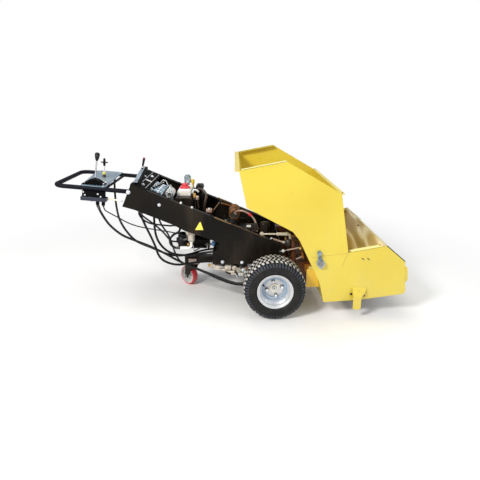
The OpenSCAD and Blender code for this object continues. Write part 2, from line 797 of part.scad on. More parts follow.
module suction_elbow() {
    bend = 26;
    drop = 25;
    r = 9;
    color("#e4e4e0") placed() translate([filter_at[0], filter_at[1], filter_low - seat]) {
        translate([0, 0, -drop]) cylinder(r = r, h = drop, $fn = 32);
        translate([0, 0, -12]) cylinder(r = r + 4, h = 12, $fn = 6);
        translate([-bend, 0, -drop]) rotate([90, 0, 0]) rotate([0, 0, 270])
            rotate_extrude(angle = 90, $fn = round_fn) translate([bend, 0]) circle(r, $fn = 32);
        translate([-bend, 0, -drop - bend]) rotate([0, -90, 0]) cylinder(r = r, h = 6, $fn = 32);
        translate([-bend - 4, 0, -drop - bend]) rotate([0, -90, 0]) cylinder(r = 12.5, h = 48, $fn = 32);
    }
}

// Hopper and screed box

side_sheet = [
    hop_rear_top, hop_peak, hop_front_top, hop_front_low, box_top_front, box_front_high,
    box_front_low, box_front_turn, box_base_front, box_base_knee, box_base_rear,
    hop_rear_low, hop_rear_mid,
    hop_slope_end, hop_rear_knee
];

module hopper_sides() {
    gap = 12;
    rear = [hop_rear_top[0] + gap, line_z(hop_rear_top, hop_peak, hop_rear_top[0] + gap)];
    low = [hop_front_low[0] + gap, line_z(hop_front_low, box_top_front, hop_front_low[0] + gap)];
    end = box_top_front[0] - 2 * gap;
    high = [end, line_z(hop_front_low, box_top_front, end)];
    color("#f2de5a") placed() both() difference() {
        union() {
            across(side_sheet, side_in, hopper_w / 2);
            across(band(moved([hop_peak, rear], fold), sheet_t), side_in - hopper_flange,
                side_in + fold);
            across(band(moved([high, low], fold), sheet_t), side_in - hopper_flange,
                side_in + fold);
        }
        roll(auger_at, auger_shaft_d / 2 + 6, side_in - hidden_eps, hopper_w / 2 + hidden_eps);
    }
}

module hopper_rear_wall() {
    wall = [hop_rear_top, hop_rear_knee, hop_slope_end, hop_rear_mid, hop_rear_low, box_base_rear];
    lip = 26;
    color("#ecd552") placed() {
        across(band(wall, sheet_t), -side_in, side_in);
        block([hop_rear_top[0] - lip, -side_in, hop_rear_top[1] - sheet_t],
            [hop_rear_top[0] + 1, side_in, hop_rear_top[1]]);
    }
}

module hopper_front_wall() {
    turn_in = 30;
    top = hop_front_top[1];
    color("#f6e662") placed() {
        across(band([hop_front_low, hop_front_top], sheet_t), -side_in, side_in);
        block([hop_front_top[0] - sheet_t, -side_in, top - sheet_t],
            [hop_front_top[0] + front_lip, side_in, top]);
        block([hop_front_low[0] - sheet_t, -side_in, hop_front_low[1] - turn_in],
            [hop_front_low[0], side_in, hop_front_low[1] + fold]);
        for (y = [-240, 0, 240])
            across([[hop_front_top[0] + 2, top - 3], [hop_front_top[0] + front_lip - 3, top - 3],
                hop_front_top + [14, -60]], y - 3, y + 3);
    }
}

chute_top = [713.2, 490];
chute_foot = [476, 190];

module feed_chute() {
    color("#c9ae52") placed() across(band([[chute_foot[0], base_z(chute_foot[0])],
        chute_foot, chute_top], sheet_t), -side_in, side_in);
}

module screed_cover() {
    color("#efdc58") placed() across(band(turned([box_top_front, box_front_high, box_front_low,
        box_front_turn, box_base_front]), sheet_t), -side_in, side_in);
}

module screed_plate() {
    x = [chute_foot[0] + seat, box_base_front[0] - sheet_t - 2];
    knee = box_base_knee;
    skirt = 26;
    color("#8d8f90") placed() {
        across([[x[0], base_z(x[0])], knee, [x[1], base_z(x[1])],
            [x[1], base_z(x[1]) + screed_t], knee + [0, screed_t],
            [x[0], base_z(x[0]) + screed_t]], -side_in + seat, side_in - seat);
        for (y = [-300, -100, 100, 300])
            across([[x[0] + skirt, base_z(x[0] + skirt) + 2], [x[1] - skirt, base_z(x[1] - skirt) + 2],
                [x[1] - skirt, base_z(x[1] - skirt) + 60], [x[0] + skirt, base_z(x[0] + skirt) + 40]],
                y - 4, y + 4);
    }
}

module end_channel() {
    z = channel_z;
    color("#e6c94c") placed() across([[front_x(z[0]) + seat, z[0]],
        [front_x(z[1]) + channel_out, z[1]], [front_x(z[2]) + channel_out, z[2]],
        [front_x(z[3]) + seat, z[3]]], -side_in, side_in);
}

module rear_gussets() {
    top = 302;
    low = 165;
    left = 224;
    color("#e8cb48") placed() both() across([[left, low], [rear_x(low) - seat, low],
        hop_rear_low - [seat, 0], [rear_x(top) - seat, top], [left + 16, top], [left, top - 16]],
        396, 404);
}

module box_feet() {
    y = [hopper_w / 2, hopper_w / 2 + 45];
    plate_x = [511, 563];
    root = 605;
    low = 68;
    corner = 9;
    color("#f4e36a") placed() both() {
        intersection() {
            translate([plate_x[0], 0, 0]) rotate([90, 0, 90]) linear_extrude(root - plate_x[0])
                polygon([[y[0], 209], [y[0], 203], [y[1] - 7, 150], [y[1], 150], [y[1], 158]]);
            translate([0, 0, low]) linear_extrude(200)
                polygon([[plate_x[0], y[0]], [root, y[0]], [root - 6, y[0] + 14],
                    [plate_x[1], y[1]], [plate_x[0], y[1]]]);
        }
        across([[plate_x[0], low + corner], [plate_x[0] + corner, low],
            [plate_x[1] - corner, low], [plate_x[1], low + corner],
            [plate_x[1], 156], [plate_x[0], 156]], y[1] - 6, y[1]);
        across([[548, 150], [556, 150], [556, 193], [548, 193]], y[0], y[0] + 22);
    }
}

module hopper_arms() {
    z = [frame_floor + 8, 420];
    color("#1d1b1a") placed() both() across([[frame_front, z[0]], [rear_x(z[0]) - seat, z[0]],
        [rear_x(z[1]) - seat, z[1]], [frame_front, z[1]]], 180, 240);
}

module auger_bearings() {
    y = hopper_w / 2;
    nut = [-9, 68];
    toe = [2, -24];
    color("#c9d3d6") placed() both() difference() {
        union() {
            roll(auger_at, bearing_d / 2, y, y + 24);
            roll(auger_at, bearing_d / 2 - 4, y + 23, y + 28);
            roll(auger_at + toe, 13, y, y + 16);
            roll(auger_at + nut, 15, y, y + 12);
            translate([auger_at[0] + nut[0], y + 11, auger_at[1] + nut[1]]) rotate([-90, 0, 0])
                cylinder(r = 12, h = 11, $fn = 6);
            across([auger_at + [-16, 8], auger_at + [12, 8], auger_at + nut + [9, -6],
                auger_at + nut + [-9, -6]], y, y + 9);
        }
        roll(auger_at, auger_shaft_d / 2 + run_fit, y - hidden_eps, y + 28 + hidden_eps);
    }
}

// One half of the screw: a flat helix with thick flights, wound towards the middle
module flight(turn) {
    steps = 16;
    inner = auger_shaft_d / 2 - 1;
    outer = auger_d / 2;
    thick = 6;
    span = side_in - flight_from - flight_gap;
    count = round(steps * span / auger_pitch);
    rise = span / count;
    function at(k, r, s) = let (a = turn * k * 360 * rise / auger_pitch)
        [r * cos(a), r * sin(a), k * rise + s];
    verts = [for (k = [0 : count]) each [at(k, inner, 0), at(k, outer, 0),
        at(k, outer, thick), at(k, inner, thick)]];
    quads = [for (k = [0 : count - 1], j = [0 : 3])
        let (a = 4 * k + j, b = 4 * k + (j + 1) % 4)
        each [[a, b, b + 4], [a, b + 4, a + 4]]];
    caps = [[3, 2, 1, 0], [4 * count, 4 * count + 1, 4 * count + 2, 4 * count + 3]];
    polyhedron(verts, concat([for (f = quads) turn > 0 ? f : turned(f)],
        [for (f = caps) turn > 0 ? f : turned(f)]));
}

module auger() {
    ends = hopper_w / 2 + 31;
    color("#9a9c9b") placed() translate([auger_at[0], 0, auger_at[1]]) {
        translate([0, ends, 0]) rotate([90, 0, 0])
            cylinder(r = auger_shaft_d / 2, h = 2 * ends, $fn = round_fn);
        translate([0, flight_from, 0]) rotate([-90, 0, 0]) flight(1);
        translate([0, -flight_from, 0]) rotate([90, 0, 0]) flight(-1);
    }
}

// Driven wheels, drawn for the left side and mirrored for the right

tyre_side = [
    [1.5, -14], [7, -8], [23, -1.5], [36, 0], [54, -3], [68, -9], [78, -19], [83, -31],
    [85.5, -45]
];

module tyre() {
    r0 = rim_r;
    h = tyre_w / 2;
    r1 = tyre_d / 2;
    half = [for (p = tyre_side) [min(r0 + p[0], r1), h + p[1]]];
    outer = concat([[bead_r + seat, h - 17.5]], half, [[r1, h - 52]]);
    wall = 11;
    inner = [for (p = outer) [min(p[0] + (p[0] < r0 + 20 ? 0 : -wall * 0.4), r1 - wall - 6),
        p[1] - wall]];
    turned_about([0, axle_z], wheel_y) polygon(concat(
        outer, turned([for (p = outer) [p[0], -p[1]]]),
        [for (p = inner) [p[0], -p[1]]], turned(inner)));
}

module tyre_left() {
    color("#2b2b2c") placed() tyre();
}

module tyre_right() {
    color("#2b2b2c") placed() mirror([0, 1, 0]) tyre();
}

disc_a = 14;
stud_turns = [11 : 90 : 281];

module rim() {
    f = rim_r;
    well = f - 24;
    t = 4;
    lip = tyre_w / 2 - 8;
    step = lip - 25;
    outside = [[f, -lip], [f, -lip + t], [bead_r, -lip + 9], [bead_r, -step], [well, -step + 14],
        [well, step - 14], [bead_r, step], [bead_r, lip - 9], [f, lip - t], [f, lip]];
    inside = [[f - t, lip], [bead_r - t, lip - 8], [bead_r - t, step + 2], [well - t, step - 12],
        [well - t, -step + 12], [bead_r - t, -step - 2], [bead_r - t, -lip + 8], [f - t, -lip]];
    difference() {
        turned_about([0, axle_z], wheel_y) union() {
            polygon(concat(outside, inside));
            polygon([[30 + seat, disc_a], [70, disc_a], [78, disc_a + 6], [well - 1, disc_a + 6],
                [well - 1, disc_a + 10], [76, disc_a + 10], [68, disc_a + 4],
                [30 + seat, disc_a + 4]]);
        }
        for (a = stud_turns)
            translate([stud_pcd / 2 * cos(a), wheel_y, axle_z + stud_pcd / 2 * sin(a)])
                rotate([90, 0, 0]) cylinder(d = stud_d + 1, h = 80, center = true, $fn = 32);
    }
}

module rim_left() {
    color("#c6c8c8") placed() rim();
}

module rim_right() {
    color("#c6c8c8") placed() mirror([0, 1, 0]) rim();
}

module hub() {
    face = wheel_y + disc_a;
    plate = 70;
    roll([0, axle_z], wheel_shaft_d / 2, shaft_end + 1, face - 10);
    roll([0, axle_z], 42, motor_out + 8, face - 11);
    roll([0, axle_z], plate - 3, face - 12, face - seat);
    roll([0, axle_z], 30, face - 1, face + 6);
    roll([0, axle_z], 16, face + 5, face + 12);
    for (a = stud_turns) {
        at = [stud_pcd / 2 * cos(a), axle_z + stud_pcd / 2 * sin(a)];
        roll(at, stud_d / 2, face - 1, face + 21);
        roll(at, 13, face + 4 + seat, face + 8);
        translate([at[0], face + 7, at[1]]) rotate([-90, 0, 0]) cylinder(d = 20, h = 10, $fn = 6);
    }
}

module hub_left() {
    color("#5c6266") placed() hub();
}

module hub_right() {
    color("#5c6266") placed() mirror([0, 1, 0]) hub();
}

// Hoses and cable, each along its own chosen points from the axle and the ground

hose_right_pts = [
    [-1179.3, -278.7, 712.4], [-1160, -275, 655], [-1115, -265, 570], [-1040, -255, 495],
    [-955, -250, 452], [-860, -245, 410], [-755, -238, 352], [-650, -230, 285],
    [-540, -225, 232], [-415, -250, 190], [-260, -300, 150], [-150, -325, 163], [-77, -330, 183]
];

module hose_right() {
    color("#131314") placed()
        tube(hose_right_pts, hose_d, 15, [-0.1, 0, -0.995], [1, 0, 0]);
}

hose_left_pts = [
    [-1185, 200, 838.9], [-1194, 196, 740], [-1182, 160, 600], [-1130, 70, 487],
    [-998, -90, 405], [-860, -165, 368], [-725, -140, 302], [-620, -50, 268],
    [-500, 80, 258], [-370, 200, 225], [-240, 280, 158], [-150, 325, 163], [-77, 330, 183]
];

module hose_left() {
    color("#131314") placed()
        tube(hose_left_pts, hose_d, 15, [-0.1045, 0, -0.9945], [1, 0, 0]);
}

control_cable_pts = [
    [-1141.6, -278.7, 709.0], [-1132, -277, 676], [-1090, -274, 647], [-1050, -270, 622],
    [-998, -262, 587], [-940, -258, 561], [-865, -255, 541], [-790, -255, 528],
    [-714, -255, 515], [-640, -252, 497], [-587, filter_at[1], 476]
];

module control_cable() {
    color("#131314") placed()
        tube(control_cable_pts, cable_d, 12, [-0.1, 0, -0.995], [0.97, 0, -0.24]);
}

hose_valve_pts = [
    [-925, -150, 678.3], [-930, -154, 628], [-912, -162, 580], [-883, -175, 516],
    [-851, -186, 450], [-824, -190, 380], [-808, -190, 325], [-777, -186, 280],
    [-720, -175, 247], [-650, -160, 234], [-545, -135, 240], [-460, -115, 240],
    [-373, -105, 240]
];

module hose_valve() {
    color("#131314") placed()
        tube(hose_valve_pts, hose_d, 13, -deck_n, [1, 0, 0]);
}

hose_pump_pts = [
    [-820, -200, 634.5], [-822, -200, 570], [-820, -200, 508], [-812, -195, 455],
    [-795, -190, 411], [-765, -184, 368], [-723, -176, 333], [-665, -166, 312],
    [-585, -156, 306], [-500, -150, 318], [-414, -150, 330]
];

module hose_pump() {
    color("#131314") placed()
        tube(hose_pump_pts, hose_d, 12, -deck_n, [1, 0, 0]);
}

hose_loop_pts = [
    [-640.3, filter_at[1], 392.7], [-675, filter_at[1], 395], [-706, -241, 418],
    [-712, -232, 453], [-688, -218, 482], [-655, -208, 498], [-642, -202, 525],
    [-640, -200, 559.4]
];

module hose_loop() {
    color("#131314") placed()
        tube(hose_loop_pts, hose_d, 12, [-1, 0, 0], deck_n);
}

side_plates();
frame_floor_sheets();
frame_walls();
axle_beam();
castor_beam();
wheel_motors();
castor_mount();
handlebar();
control_box();
lever_quadrant();
drive_lever();
control_shelf();
feed_lever();
dash_console();
dash_strip();
throttle_lever();
valve_block();
gear_pump();
oil_tank();
fuel_tank();
tank_cap();
filter_head();
filler_cap();
air_cleaner();
engine_block();
muffler();
spin_filter();
hydraulic_pipe();
drive_pump();
oil_cooler();
return_filter();
suction_elbow();
hopper_arms();
hopper_sides();
hopper_rear_wall();
hopper_front_wall();
feed_chute();
screed_cover();
screed_plate();
end_channel();
rear_gussets();
box_feet();
auger_bearings();
auger();
tyre_right();
rim_right();
hub_right();
tyre_left();
rim_left();
hub_left();
castor_fork();
castor_tyre();
castor_core();
hose_right();
hose_left();
control_cable();
hose_valve();
hose_pump();
hose_loop();
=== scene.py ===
"""Looks of the small walk-behind asphalt paver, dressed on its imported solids."""
import json
import random
from math import atan2, copysign, cos, hypot, pi, radians, sin

import bmesh
import bpy
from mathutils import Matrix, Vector


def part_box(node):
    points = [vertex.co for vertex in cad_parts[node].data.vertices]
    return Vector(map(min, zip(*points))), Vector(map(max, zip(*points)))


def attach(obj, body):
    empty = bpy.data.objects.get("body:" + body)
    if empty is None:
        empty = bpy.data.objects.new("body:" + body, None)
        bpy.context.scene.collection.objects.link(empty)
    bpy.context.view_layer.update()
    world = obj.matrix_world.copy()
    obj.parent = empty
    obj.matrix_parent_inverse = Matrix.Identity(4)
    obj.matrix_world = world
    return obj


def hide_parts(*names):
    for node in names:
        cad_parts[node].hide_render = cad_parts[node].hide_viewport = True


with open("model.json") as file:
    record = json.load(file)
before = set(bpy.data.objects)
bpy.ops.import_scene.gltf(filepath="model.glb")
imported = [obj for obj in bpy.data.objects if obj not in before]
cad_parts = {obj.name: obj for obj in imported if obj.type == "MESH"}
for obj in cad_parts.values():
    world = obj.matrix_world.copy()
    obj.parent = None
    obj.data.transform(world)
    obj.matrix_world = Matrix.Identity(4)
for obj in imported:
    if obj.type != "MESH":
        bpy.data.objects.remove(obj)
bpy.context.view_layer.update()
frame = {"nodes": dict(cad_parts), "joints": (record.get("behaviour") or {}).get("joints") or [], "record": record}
nodes = frame["nodes"]
AXLE, _, AXLE_Z = next(j["pos_m"] for j in frame["joints"] if j["name"] == "wheel_right_turn")
X, Y, Z = Vector((1, 0, 0)), Vector((0, 1, 0)), Vector((0, 0, 1))
SIDES = (-1, 1)
rng = random.Random(7)
scene = bpy.context.scene


def place(x, y, z):
    """A place in millimetres: along from the driven axle, across, and up from the ground."""
    return Vector((AXLE + x / 1000, y / 1000, z / 1000))


# Camera and light
def make_camera():
    data = bpy.data.cameras.new("camera")
    data.sensor_width = 36
    data.lens = 31.5
    data.shift_y = -0.0552
    data.dof.use_dof = False
    cam = bpy.data.objects.new("camera", data)
    cam.location = place(-255.95, -3027, 1393)
    cam.rotation_euler = (radians(74.88), 0, radians(-0.68))
    scene.collection.objects.link(cam)
    scene.camera = cam


def make_light(name, at, to, size, power, colour):
    data = bpy.data.lights.new(name, "AREA")
    data.shape = "DISK"
    data.size = size
    data.energy = power
    data.color = colour
    lamp = bpy.data.objects.new(name, data)
    lamp.location = at
    lamp.rotation_euler = (Vector(to) - Vector(at)).to_track_quat("-Z", "Y").to_euler()
    scene.collection.objects.link(lamp)


def add_node(tree, kind, inputs=(), **fields):
    """A shader node with its fields set, and each input linked to an output or given a value."""
    made = tree.nodes.new(kind)
    for name, value in fields.items():
        setattr(made, name, value)
    for name, value in dict(inputs).items():
        feed(tree, made.inputs[name], value)
    return made


def feed(tree, target, value):
    """Link an output to an input, or give the input a value of its own."""
    if isinstance(value, bpy.types.NodeSocket):
        tree.links.new(value, target)
    elif hasattr(value, "__len__") and len(value) == 3 and len(target.default_value) == 4:
        target.default_value = (*value, 1)
    else:
        target.default_value = value


def make_world():
    """White to the camera and through glass, and a soft light to the rest."""
    world = bpy.data.worlds.new("studio")
    scene.world = world
    world.use_nodes = True
    tree = world.node_tree
    tree.nodes.clear()
    path = add_node(tree, "ShaderNodeLightPath").outputs
    seen = add_node(tree, "ShaderNodeMath", operation="MAXIMUM",
                    inputs={0: path["Is Camera Ray"], 1: path["Is Transmission Ray"]})
    soft = add_node(tree, "ShaderNodeBackground", {"Color": (0.93, 0.96, 1.0), "Strength": 0.55})
    white = add_node(tree, "ShaderNodeBackground", {"Color": (1, 1, 1), "Strength": 1.0})
    mix = add_node(tree, "ShaderNodeMixShader",
                   {"Fac": seen.outputs[0], 1: soft.outputs[0], 2: white.outputs[0]})
    add_node(tree, "ShaderNodeOutputWorld", {"Surface": mix.outputs[0]})


make_camera()
make_light("key", (-2.6, -3.4, 3.6), (0.1, 0, 0.4), 1.2, 210, (1.0, 0.98, 0.94))
make_light("fill", (3.6, -2.2, 2.2), (0.2, 0, 0.4), 3.0, 40, (0.94, 0.97, 1.0))
make_light("top", (0.2, 0.8, 4.2), (0.1, 0, 0.3), 3.0, 60, (1, 1, 1))
make_world()
scene.view_settings.view_transform = "Standard"

# Finishes by name. Making a Shader adds its material here.
LOOKS = {}
# Places of a colour mix's two colours among its inputs, and of its result among its outputs
MIX_A, MIX_B, MIX_RESULT = 6, 7, 2


class Shader:
    """A small builder for one material's node tree, in the object's own metres."""

    def __init__(self, name):
        self.material = LOOKS[name] = bpy.data.materials.new(name)
        self.material.use_nodes = True
        self.tree = self.material.node_tree
        self.tree.nodes.clear()
        self.bsdf = self.node("ShaderNodeBsdfPrincipled")
        self.out = self.node("ShaderNodeOutputMaterial", {"Surface": self.bsdf.outputs[0]})
        self.coords = self.node("ShaderNodeTexCoord").outputs["Object"]

    def node(self, kind, inputs=(), **fields):
        return add_node(self.tree, kind, inputs, **fields)

    def set(self, **inputs):
        for name, value in inputs.items():
            feed(self.tree, self.bsdf.inputs[name.replace("_", " ")], value)

    def noise(self, scale, detail, roughness=0.5, stretch=None, distortion=0.0, turned=0.0):
        """Soft noise. A low stretch draws its grain out along that axis, turned about Z."""
        coords = self.coords
        if stretch:
            drawn_out = {"Vector": coords, "Scale": [1 / k for k in stretch],
                         "Rotation": (0, 0, radians(turned))}
            coords = self.node("ShaderNodeMapping", drawn_out, vector_type="TEXTURE").outputs[0]
        return self.node("ShaderNodeTexNoise", {
            "Vector": coords, "Scale": scale, "Detail": detail, "Roughness": roughness,
            "Distortion": distortion}).outputs["Fac"]

    def ramp(self, source, stops):
        """A smooth change of value or colour at each (place, value) of the stops."""
        made = self.node("ShaderNodeValToRGB", {"Fac": source})
        band = made.color_ramp
        while len(band.elements) < len(stops):
            band.elements.new(0.5)
        for element, (at, value) in zip(band.elements, stops):
            element.position = at
            element.color = (*value, 1) if hasattr(value, "__len__") else (value, value, value, 1)
        return made.outputs["Color"]

    def mix(self, share, a, b):
        made = self.node("ShaderNodeMix", {"Factor": share, MIX_A: a, MIX_B: b}, data_type="RGBA")
        return made.outputs[MIX_RESULT]

    def math(self, operation, a, b, clamp=False):
        made = self.node("ShaderNodeMath", {0: a, 1: b}, operation=operation, use_clamp=clamp)
        return made.outputs[0]

    def low_down(self, low, high):
        """One near the ground and none above: from the height of the point, in metres."""
        height = self.node("ShaderNodeSeparateXYZ", {0: self.coords}).outputs["Z"]
        return self.node("ShaderNodeMapRange", {
            "Value": height, "From Min": low, "From Max": high, "To Min": 1.0,
            "To Max": 0.0}).outputs[0]

    def rounded_normal(self, radius):
        return self.node("ShaderNodeBevel", {"Radius": radius}, samples=4).outputs[0]

    def edges(self, radius):
        """How near a sharp edge is, from the difference between the true and a rounded normal."""
        true = self.node("ShaderNodeNewGeometry").outputs["Normal"]
        same = self.node("ShaderNodeVectorMath", {0: self.rounded_normal(radius), 1: true},
                         operation="DOT_PRODUCT").outputs["Value"]
        return self.ramp(self.math("SUBTRACT", 1.0, same), [(0.02, 0.0), (0.2, 1.0)])

    def height(self, value, distance, strength, rounded):
        """Fine relief, over edges that are rounded in looks only."""
        bump = self.node("ShaderNodeBump", {
            "Height": value, "Distance": distance, "Strength": strength,
            "Normal": self.rounded_normal(rounded)})
        self.set(Normal=bump.outputs[0])

    def roughness(self, source, rough, spread, end=0.75):
        """From rough at low noise to rougher by the spread at high noise."""
        self.set(Roughness=self.ramp(source, [(0.3, rough), (end, min(rough + spread, 1))]))


def paint(name, colour, dark, rough=0.28, coat=0.35, worn=(0.25, 0.24, 0.23), dust_and_painted_light=(0.5, 0.47, 0.42),
          dust_and_painted_light_share=0.25, wear=0.5, splash=0.0, shine=0.5):
    """Paint with streaks in the dust colour, which in some finishes is a painted reflection, bare edges and, where
    splash is given, mud low down.
    """
    s = Shader(name)
    tone = s.ramp(s.noise(2.3, 4), [(0.35, dark), (0.65, colour)])
    streak = s.noise(6.0, 5, 0.6, stretch=(1, 1, 0.25))
    body = s.mix(s.ramp(streak, [(0.5, 0.0), (0.8, dust_and_painted_light_share)]), tone, dust_and_painted_light)
    if splash:
        spots = s.ramp(s.noise(9, 7, 0.65), [(0.35, 0.0), (0.75, splash)])
        body = s.mix(s.math("MULTIPLY", s.low_down(0.1, 0.42), spots), body, dust_and_painted_light)
    patches = s.ramp(s.noise(38, 6, 0.7), [(0.45, 0.0), (0.62, 1.0)])
    edge = s.math("MULTIPLY", s.edges(0.0022), patches)
    bare = s.math("MULTIPLY", edge, wear, clamp=True)
    s.set(Base_Color=s.mix(bare, body, worn), Metallic=s.math("MULTIPLY", bare, 0.6),
          Coat_Weight=coat, Coat_Roughness=0.12, Specular_IOR_Level=shine)
    s.roughness(s.noise(14, 5, 0.6), rough, 0.22)
    s.height(s.noise(170, 2), 0.0004, 0.25, 0.0012)


def metal(name, colour, dark, rough=0.35, grain=60, rust=0.0, stain=(0.2, 0.12, 0.07), metallic=1.0,
          bump=0.0005):
    """Mottled bare metal and, where rust is given, stained spots that don't shine."""
    s = Shader(name)
    tone = s.ramp(s.noise(grain, 5, 0.6), [(0.3, dark), (0.7, colour)])
    s.set(Metallic=metallic)
    if rust:
        spots = s.ramp(s.noise(16, 8, 0.7), [(1 - rust - 0.1, 0.0), (1 - rust + 0.08, 1.0)])
        tone = s.mix(spots, tone, stain)
        s.set(Metallic=s.ramp(spots, [(0.0, metallic), (1.0, 0.1)]))
    s.set(Base_Color=tone)
    s.roughness(s.noise(grain * 0.6, 5, 0.6), rough, 0.25)
    s.height(s.noise(grain * 3, 4, 0.6), bump, 0.4, 0.001)


def plastic(name, colour, dark, rough=0.45, grain=400, through=0.0, dust_and_painted_light=None, dust_and_painted_light_share=0.4,
            shine=0.5):
    """Plastic or rubber with a fine grain, patches in the dust colour, which are painted highlights in one finish
    and painted sunlight in another, and light through it where given.
    """
    s = Shader(name)
    tone = s.ramp(s.noise(9, 4), [(0.35, dark), (0.7, colour)])
    if dust_and_painted_light:
        tone = s.mix(s.ramp(s.noise(21, 7, 0.65), [(0.42, 0.0), (0.75, dust_and_painted_light_share)]), tone, dust_and_painted_light)
    s.set(Base_Color=tone, Specular_IOR_Level=shine, Subsurface_Weight=through)
    if through:
        s.set(Subsurface_Radius=(0.01, 0.01, 0.01))
    s.roughness(s.noise(22, 4), rough, 0.2, end=0.8)
    s.height(s.noise(grain, 2), 0.0003, 0.3, 0.0012)


def chute_painted_light(name):
    """Yellow paint with painted light: long soft streaks across the slope, pale painted highlights between golden
    and brown painted shade.
    """
    s = Shader(name)
    skew = -5  # Degrees about Z, from streaks that run straight across the machine
    broad = s.noise(3.0, 1, 0.4, stretch=(5.0, 0.5, 0.1), distortion=0.1, turned=skew)
    fine = s.noise(7.0, 6, 0.6, stretch=(4, 0.5, 0.3), distortion=0.3, turned=skew)
    tone = s.ramp(broad, [(0.34, (0.36, 0.23, 0.06)), (0.44, (0.56, 0.39, 0.13)),
                          (0.48, (0.95, 0.84, 0.60)), (0.50, (0.95, 0.84, 0.60)),
                          (0.55, (0.62, 0.44, 0.15)), (0.63, (0.44, 0.30, 0.09)),
                          (0.68, (0.90, 0.76, 0.48)), (0.74, (0.52, 0.36, 0.12))])
    tone = s.mix(s.ramp(fine, [(0.5, 0.0), (0.8, 0.35)]), tone, (0.30, 0.20, 0.08))
    s.set(Base_Color=tone, Metallic=0.35, Coat_Weight=0.25, Coat_Roughness=0.2)
    s.set(Roughness=s.ramp(fine, [(0.3, 0.24), (0.7, 0.42)]))
    s.height(fine, 0.0006, 0.25, 0.0012)


paint("frame_black", (0.014, 0.0115, 0.0085), (0.006, 0.005, 0.004), rough=0.25, coat=0.04,
      dust_and_painted_light=(0.064, 0.045, 0.03), dust_and_painted_light_share=0.5, wear=0.25, worn=(0.12, 0.11, 0.1), splash=0.55,
      shine=0.08)
paint("hopper_yellow", (0.755, 0.595, 0.062), (0.7, 0.53, 0.042), rough=0.25, coat=0.35,
      dust_and_painted_light=(0.55, 0.42, 0.2), dust_and_painted_light_share=0.16, wear=0.5, worn=(0.3, 0.22, 0.1), splash=0.3)
# A brighter, more golden copy of the hopper yellow for the rear gussets: painted light over their shade, with the
# warm tint of shaded yellow.
paint("gusset_painted_light_gold", (0.92, 0.58, 0.035), (0.82, 0.47, 0.025), rough=0.3, coat=0.3)
# A paler yellow for top faces: painted sunlight.
paint("sunlit_yellow", (0.92, 0.84, 0.3), (0.86, 0.76, 0.22), rough=0.3, coat=0.3)
# The chute's finish: streaks of painted highlight and painted shade on its yellow.
chute_painted_light("worn_chute")
paint("blue_plate", (0.17, 0.24, 0.3), (0.12, 0.18, 0.23), rough=0.3)
metal("zinc_steel", (0.62, 0.63, 0.62), (0.34, 0.35, 0.36), rough=0.3, grain=45)
metal("worn_steel", (0.42, 0.41, 0.4), (0.2, 0.19, 0.18), rough=0.35, rust=0.3)
metal("chrome_steel", (0.85, 0.85, 0.86), (0.7, 0.7, 0.72), rough=0.08, bump=0.0001)
metal("pump_alloy", (0.46, 0.49, 0.53), (0.22, 0.24, 0.27), rough=0.32, metallic=0.85, grain=24)
paint("engine_iron", (0.02, 0.018, 0.017), (0.008, 0.008, 0.009), rough=0.45, coat=0.1,
      dust_and_painted_light=(0.16, 0.08, 0.03), dust_and_painted_light_share=0.5, shine=0.3)
metal("hot_steel", (0.48, 0.2, 0.08), (0.2, 0.08, 0.035), rough=0.4, rust=0.3, stain=(0.06, 0.03, 0.02))
plastic("black_plastic", (0.009, 0.009, 0.011), (0.005, 0.005, 0.006), shine=0.3)
plastic("white_plastic", (0.9, 0.89, 0.86), (0.84, 0.82, 0.78), rough=0.35, through=0.1,
        dust_and_painted_light=(0.55, 0.48, 0.38), dust_and_painted_light_share=0.18)
plastic("red_plastic", (0.72, 0.06, 0.08), (0.6, 0.04, 0.06), rough=0.3)
plastic("yellow_plastic", (0.86, 0.6, 0.05), (0.75, 0.5, 0.04), rough=0.3)
plastic("grey_plastic", (0.62, 0.62, 0.6), (0.46, 0.46, 0.45), rough=0.5, dust_and_painted_light=(0.3, 0.25, 0.18))
plastic("castor_red", (0.68, 0.04, 0.06), (0.55, 0.03, 0.045), rough=0.35, dust_and_painted_light=(0.35, 0.25, 0.2),
        dust_and_painted_light_share=0.2)
plastic("tyre_rubber", (0.006, 0.006, 0.0065), (0.011, 0.01, 0.01), rough=0.5, grain=250,
        dust_and_painted_light=(0.05, 0.045, 0.04), dust_and_painted_light_share=0.35, shine=0.25)
# Pale tread bars: dust, lightened further as painted sunlight.
plastic("tread_dust_and_sunlight", (0.64, 0.62, 0.58), (0.42, 0.4, 0.37), rough=0.85, grain=300,
        dust_and_painted_light=(0.76, 0.73, 0.68), dust_and_painted_light_share=0.8, shine=0.2)
plastic("shoulder_rubber", (0.045, 0.058, 0.085), (0.03, 0.036, 0.05), rough=0.5, grain=300,
        dust_and_painted_light=(0.1, 0.1, 0.1), dust_and_painted_light_share=0.4, shine=0.3)
metal("rim_silver", (0.7, 0.71, 0.72), (0.58, 0.59, 0.6), rough=0.34, metallic=0.55)
plastic("hose_rubber", (0.007, 0.007, 0.008), (0.004, 0.004, 0.005), rough=0.4, dust_and_painted_light=(0.05, 0.045, 0.04),
        dust_and_painted_light_share=0.15, shine=0.3)
# Orange: a painted reflection of the yellow hopper on black bars, and painted shade of the yellow rear wall.
paint("orange_arm", (0.42, 0.16, 0.015), (0.22, 0.08, 0.01), rough=0.35, dust_and_painted_light=(0.1, 0.05, 0.02),
      dust_and_painted_light_share=0.6, wear=0.6, worn=(0.06, 0.04, 0.03))
paint("bolt_bright", (0.82, 0.84, 0.86), (0.55, 0.58, 0.62), rough=0.25, dust_and_painted_light_share=0.1, wear=0.2)
# Pale blue for the rims: a painted reflection of the sky.
paint("painted_sky_reflection", (0.36, 0.47, 0.62), (0.42, 0.52, 0.65), rough=0.3, dust_and_painted_light_share=0.1, wear=0.2)
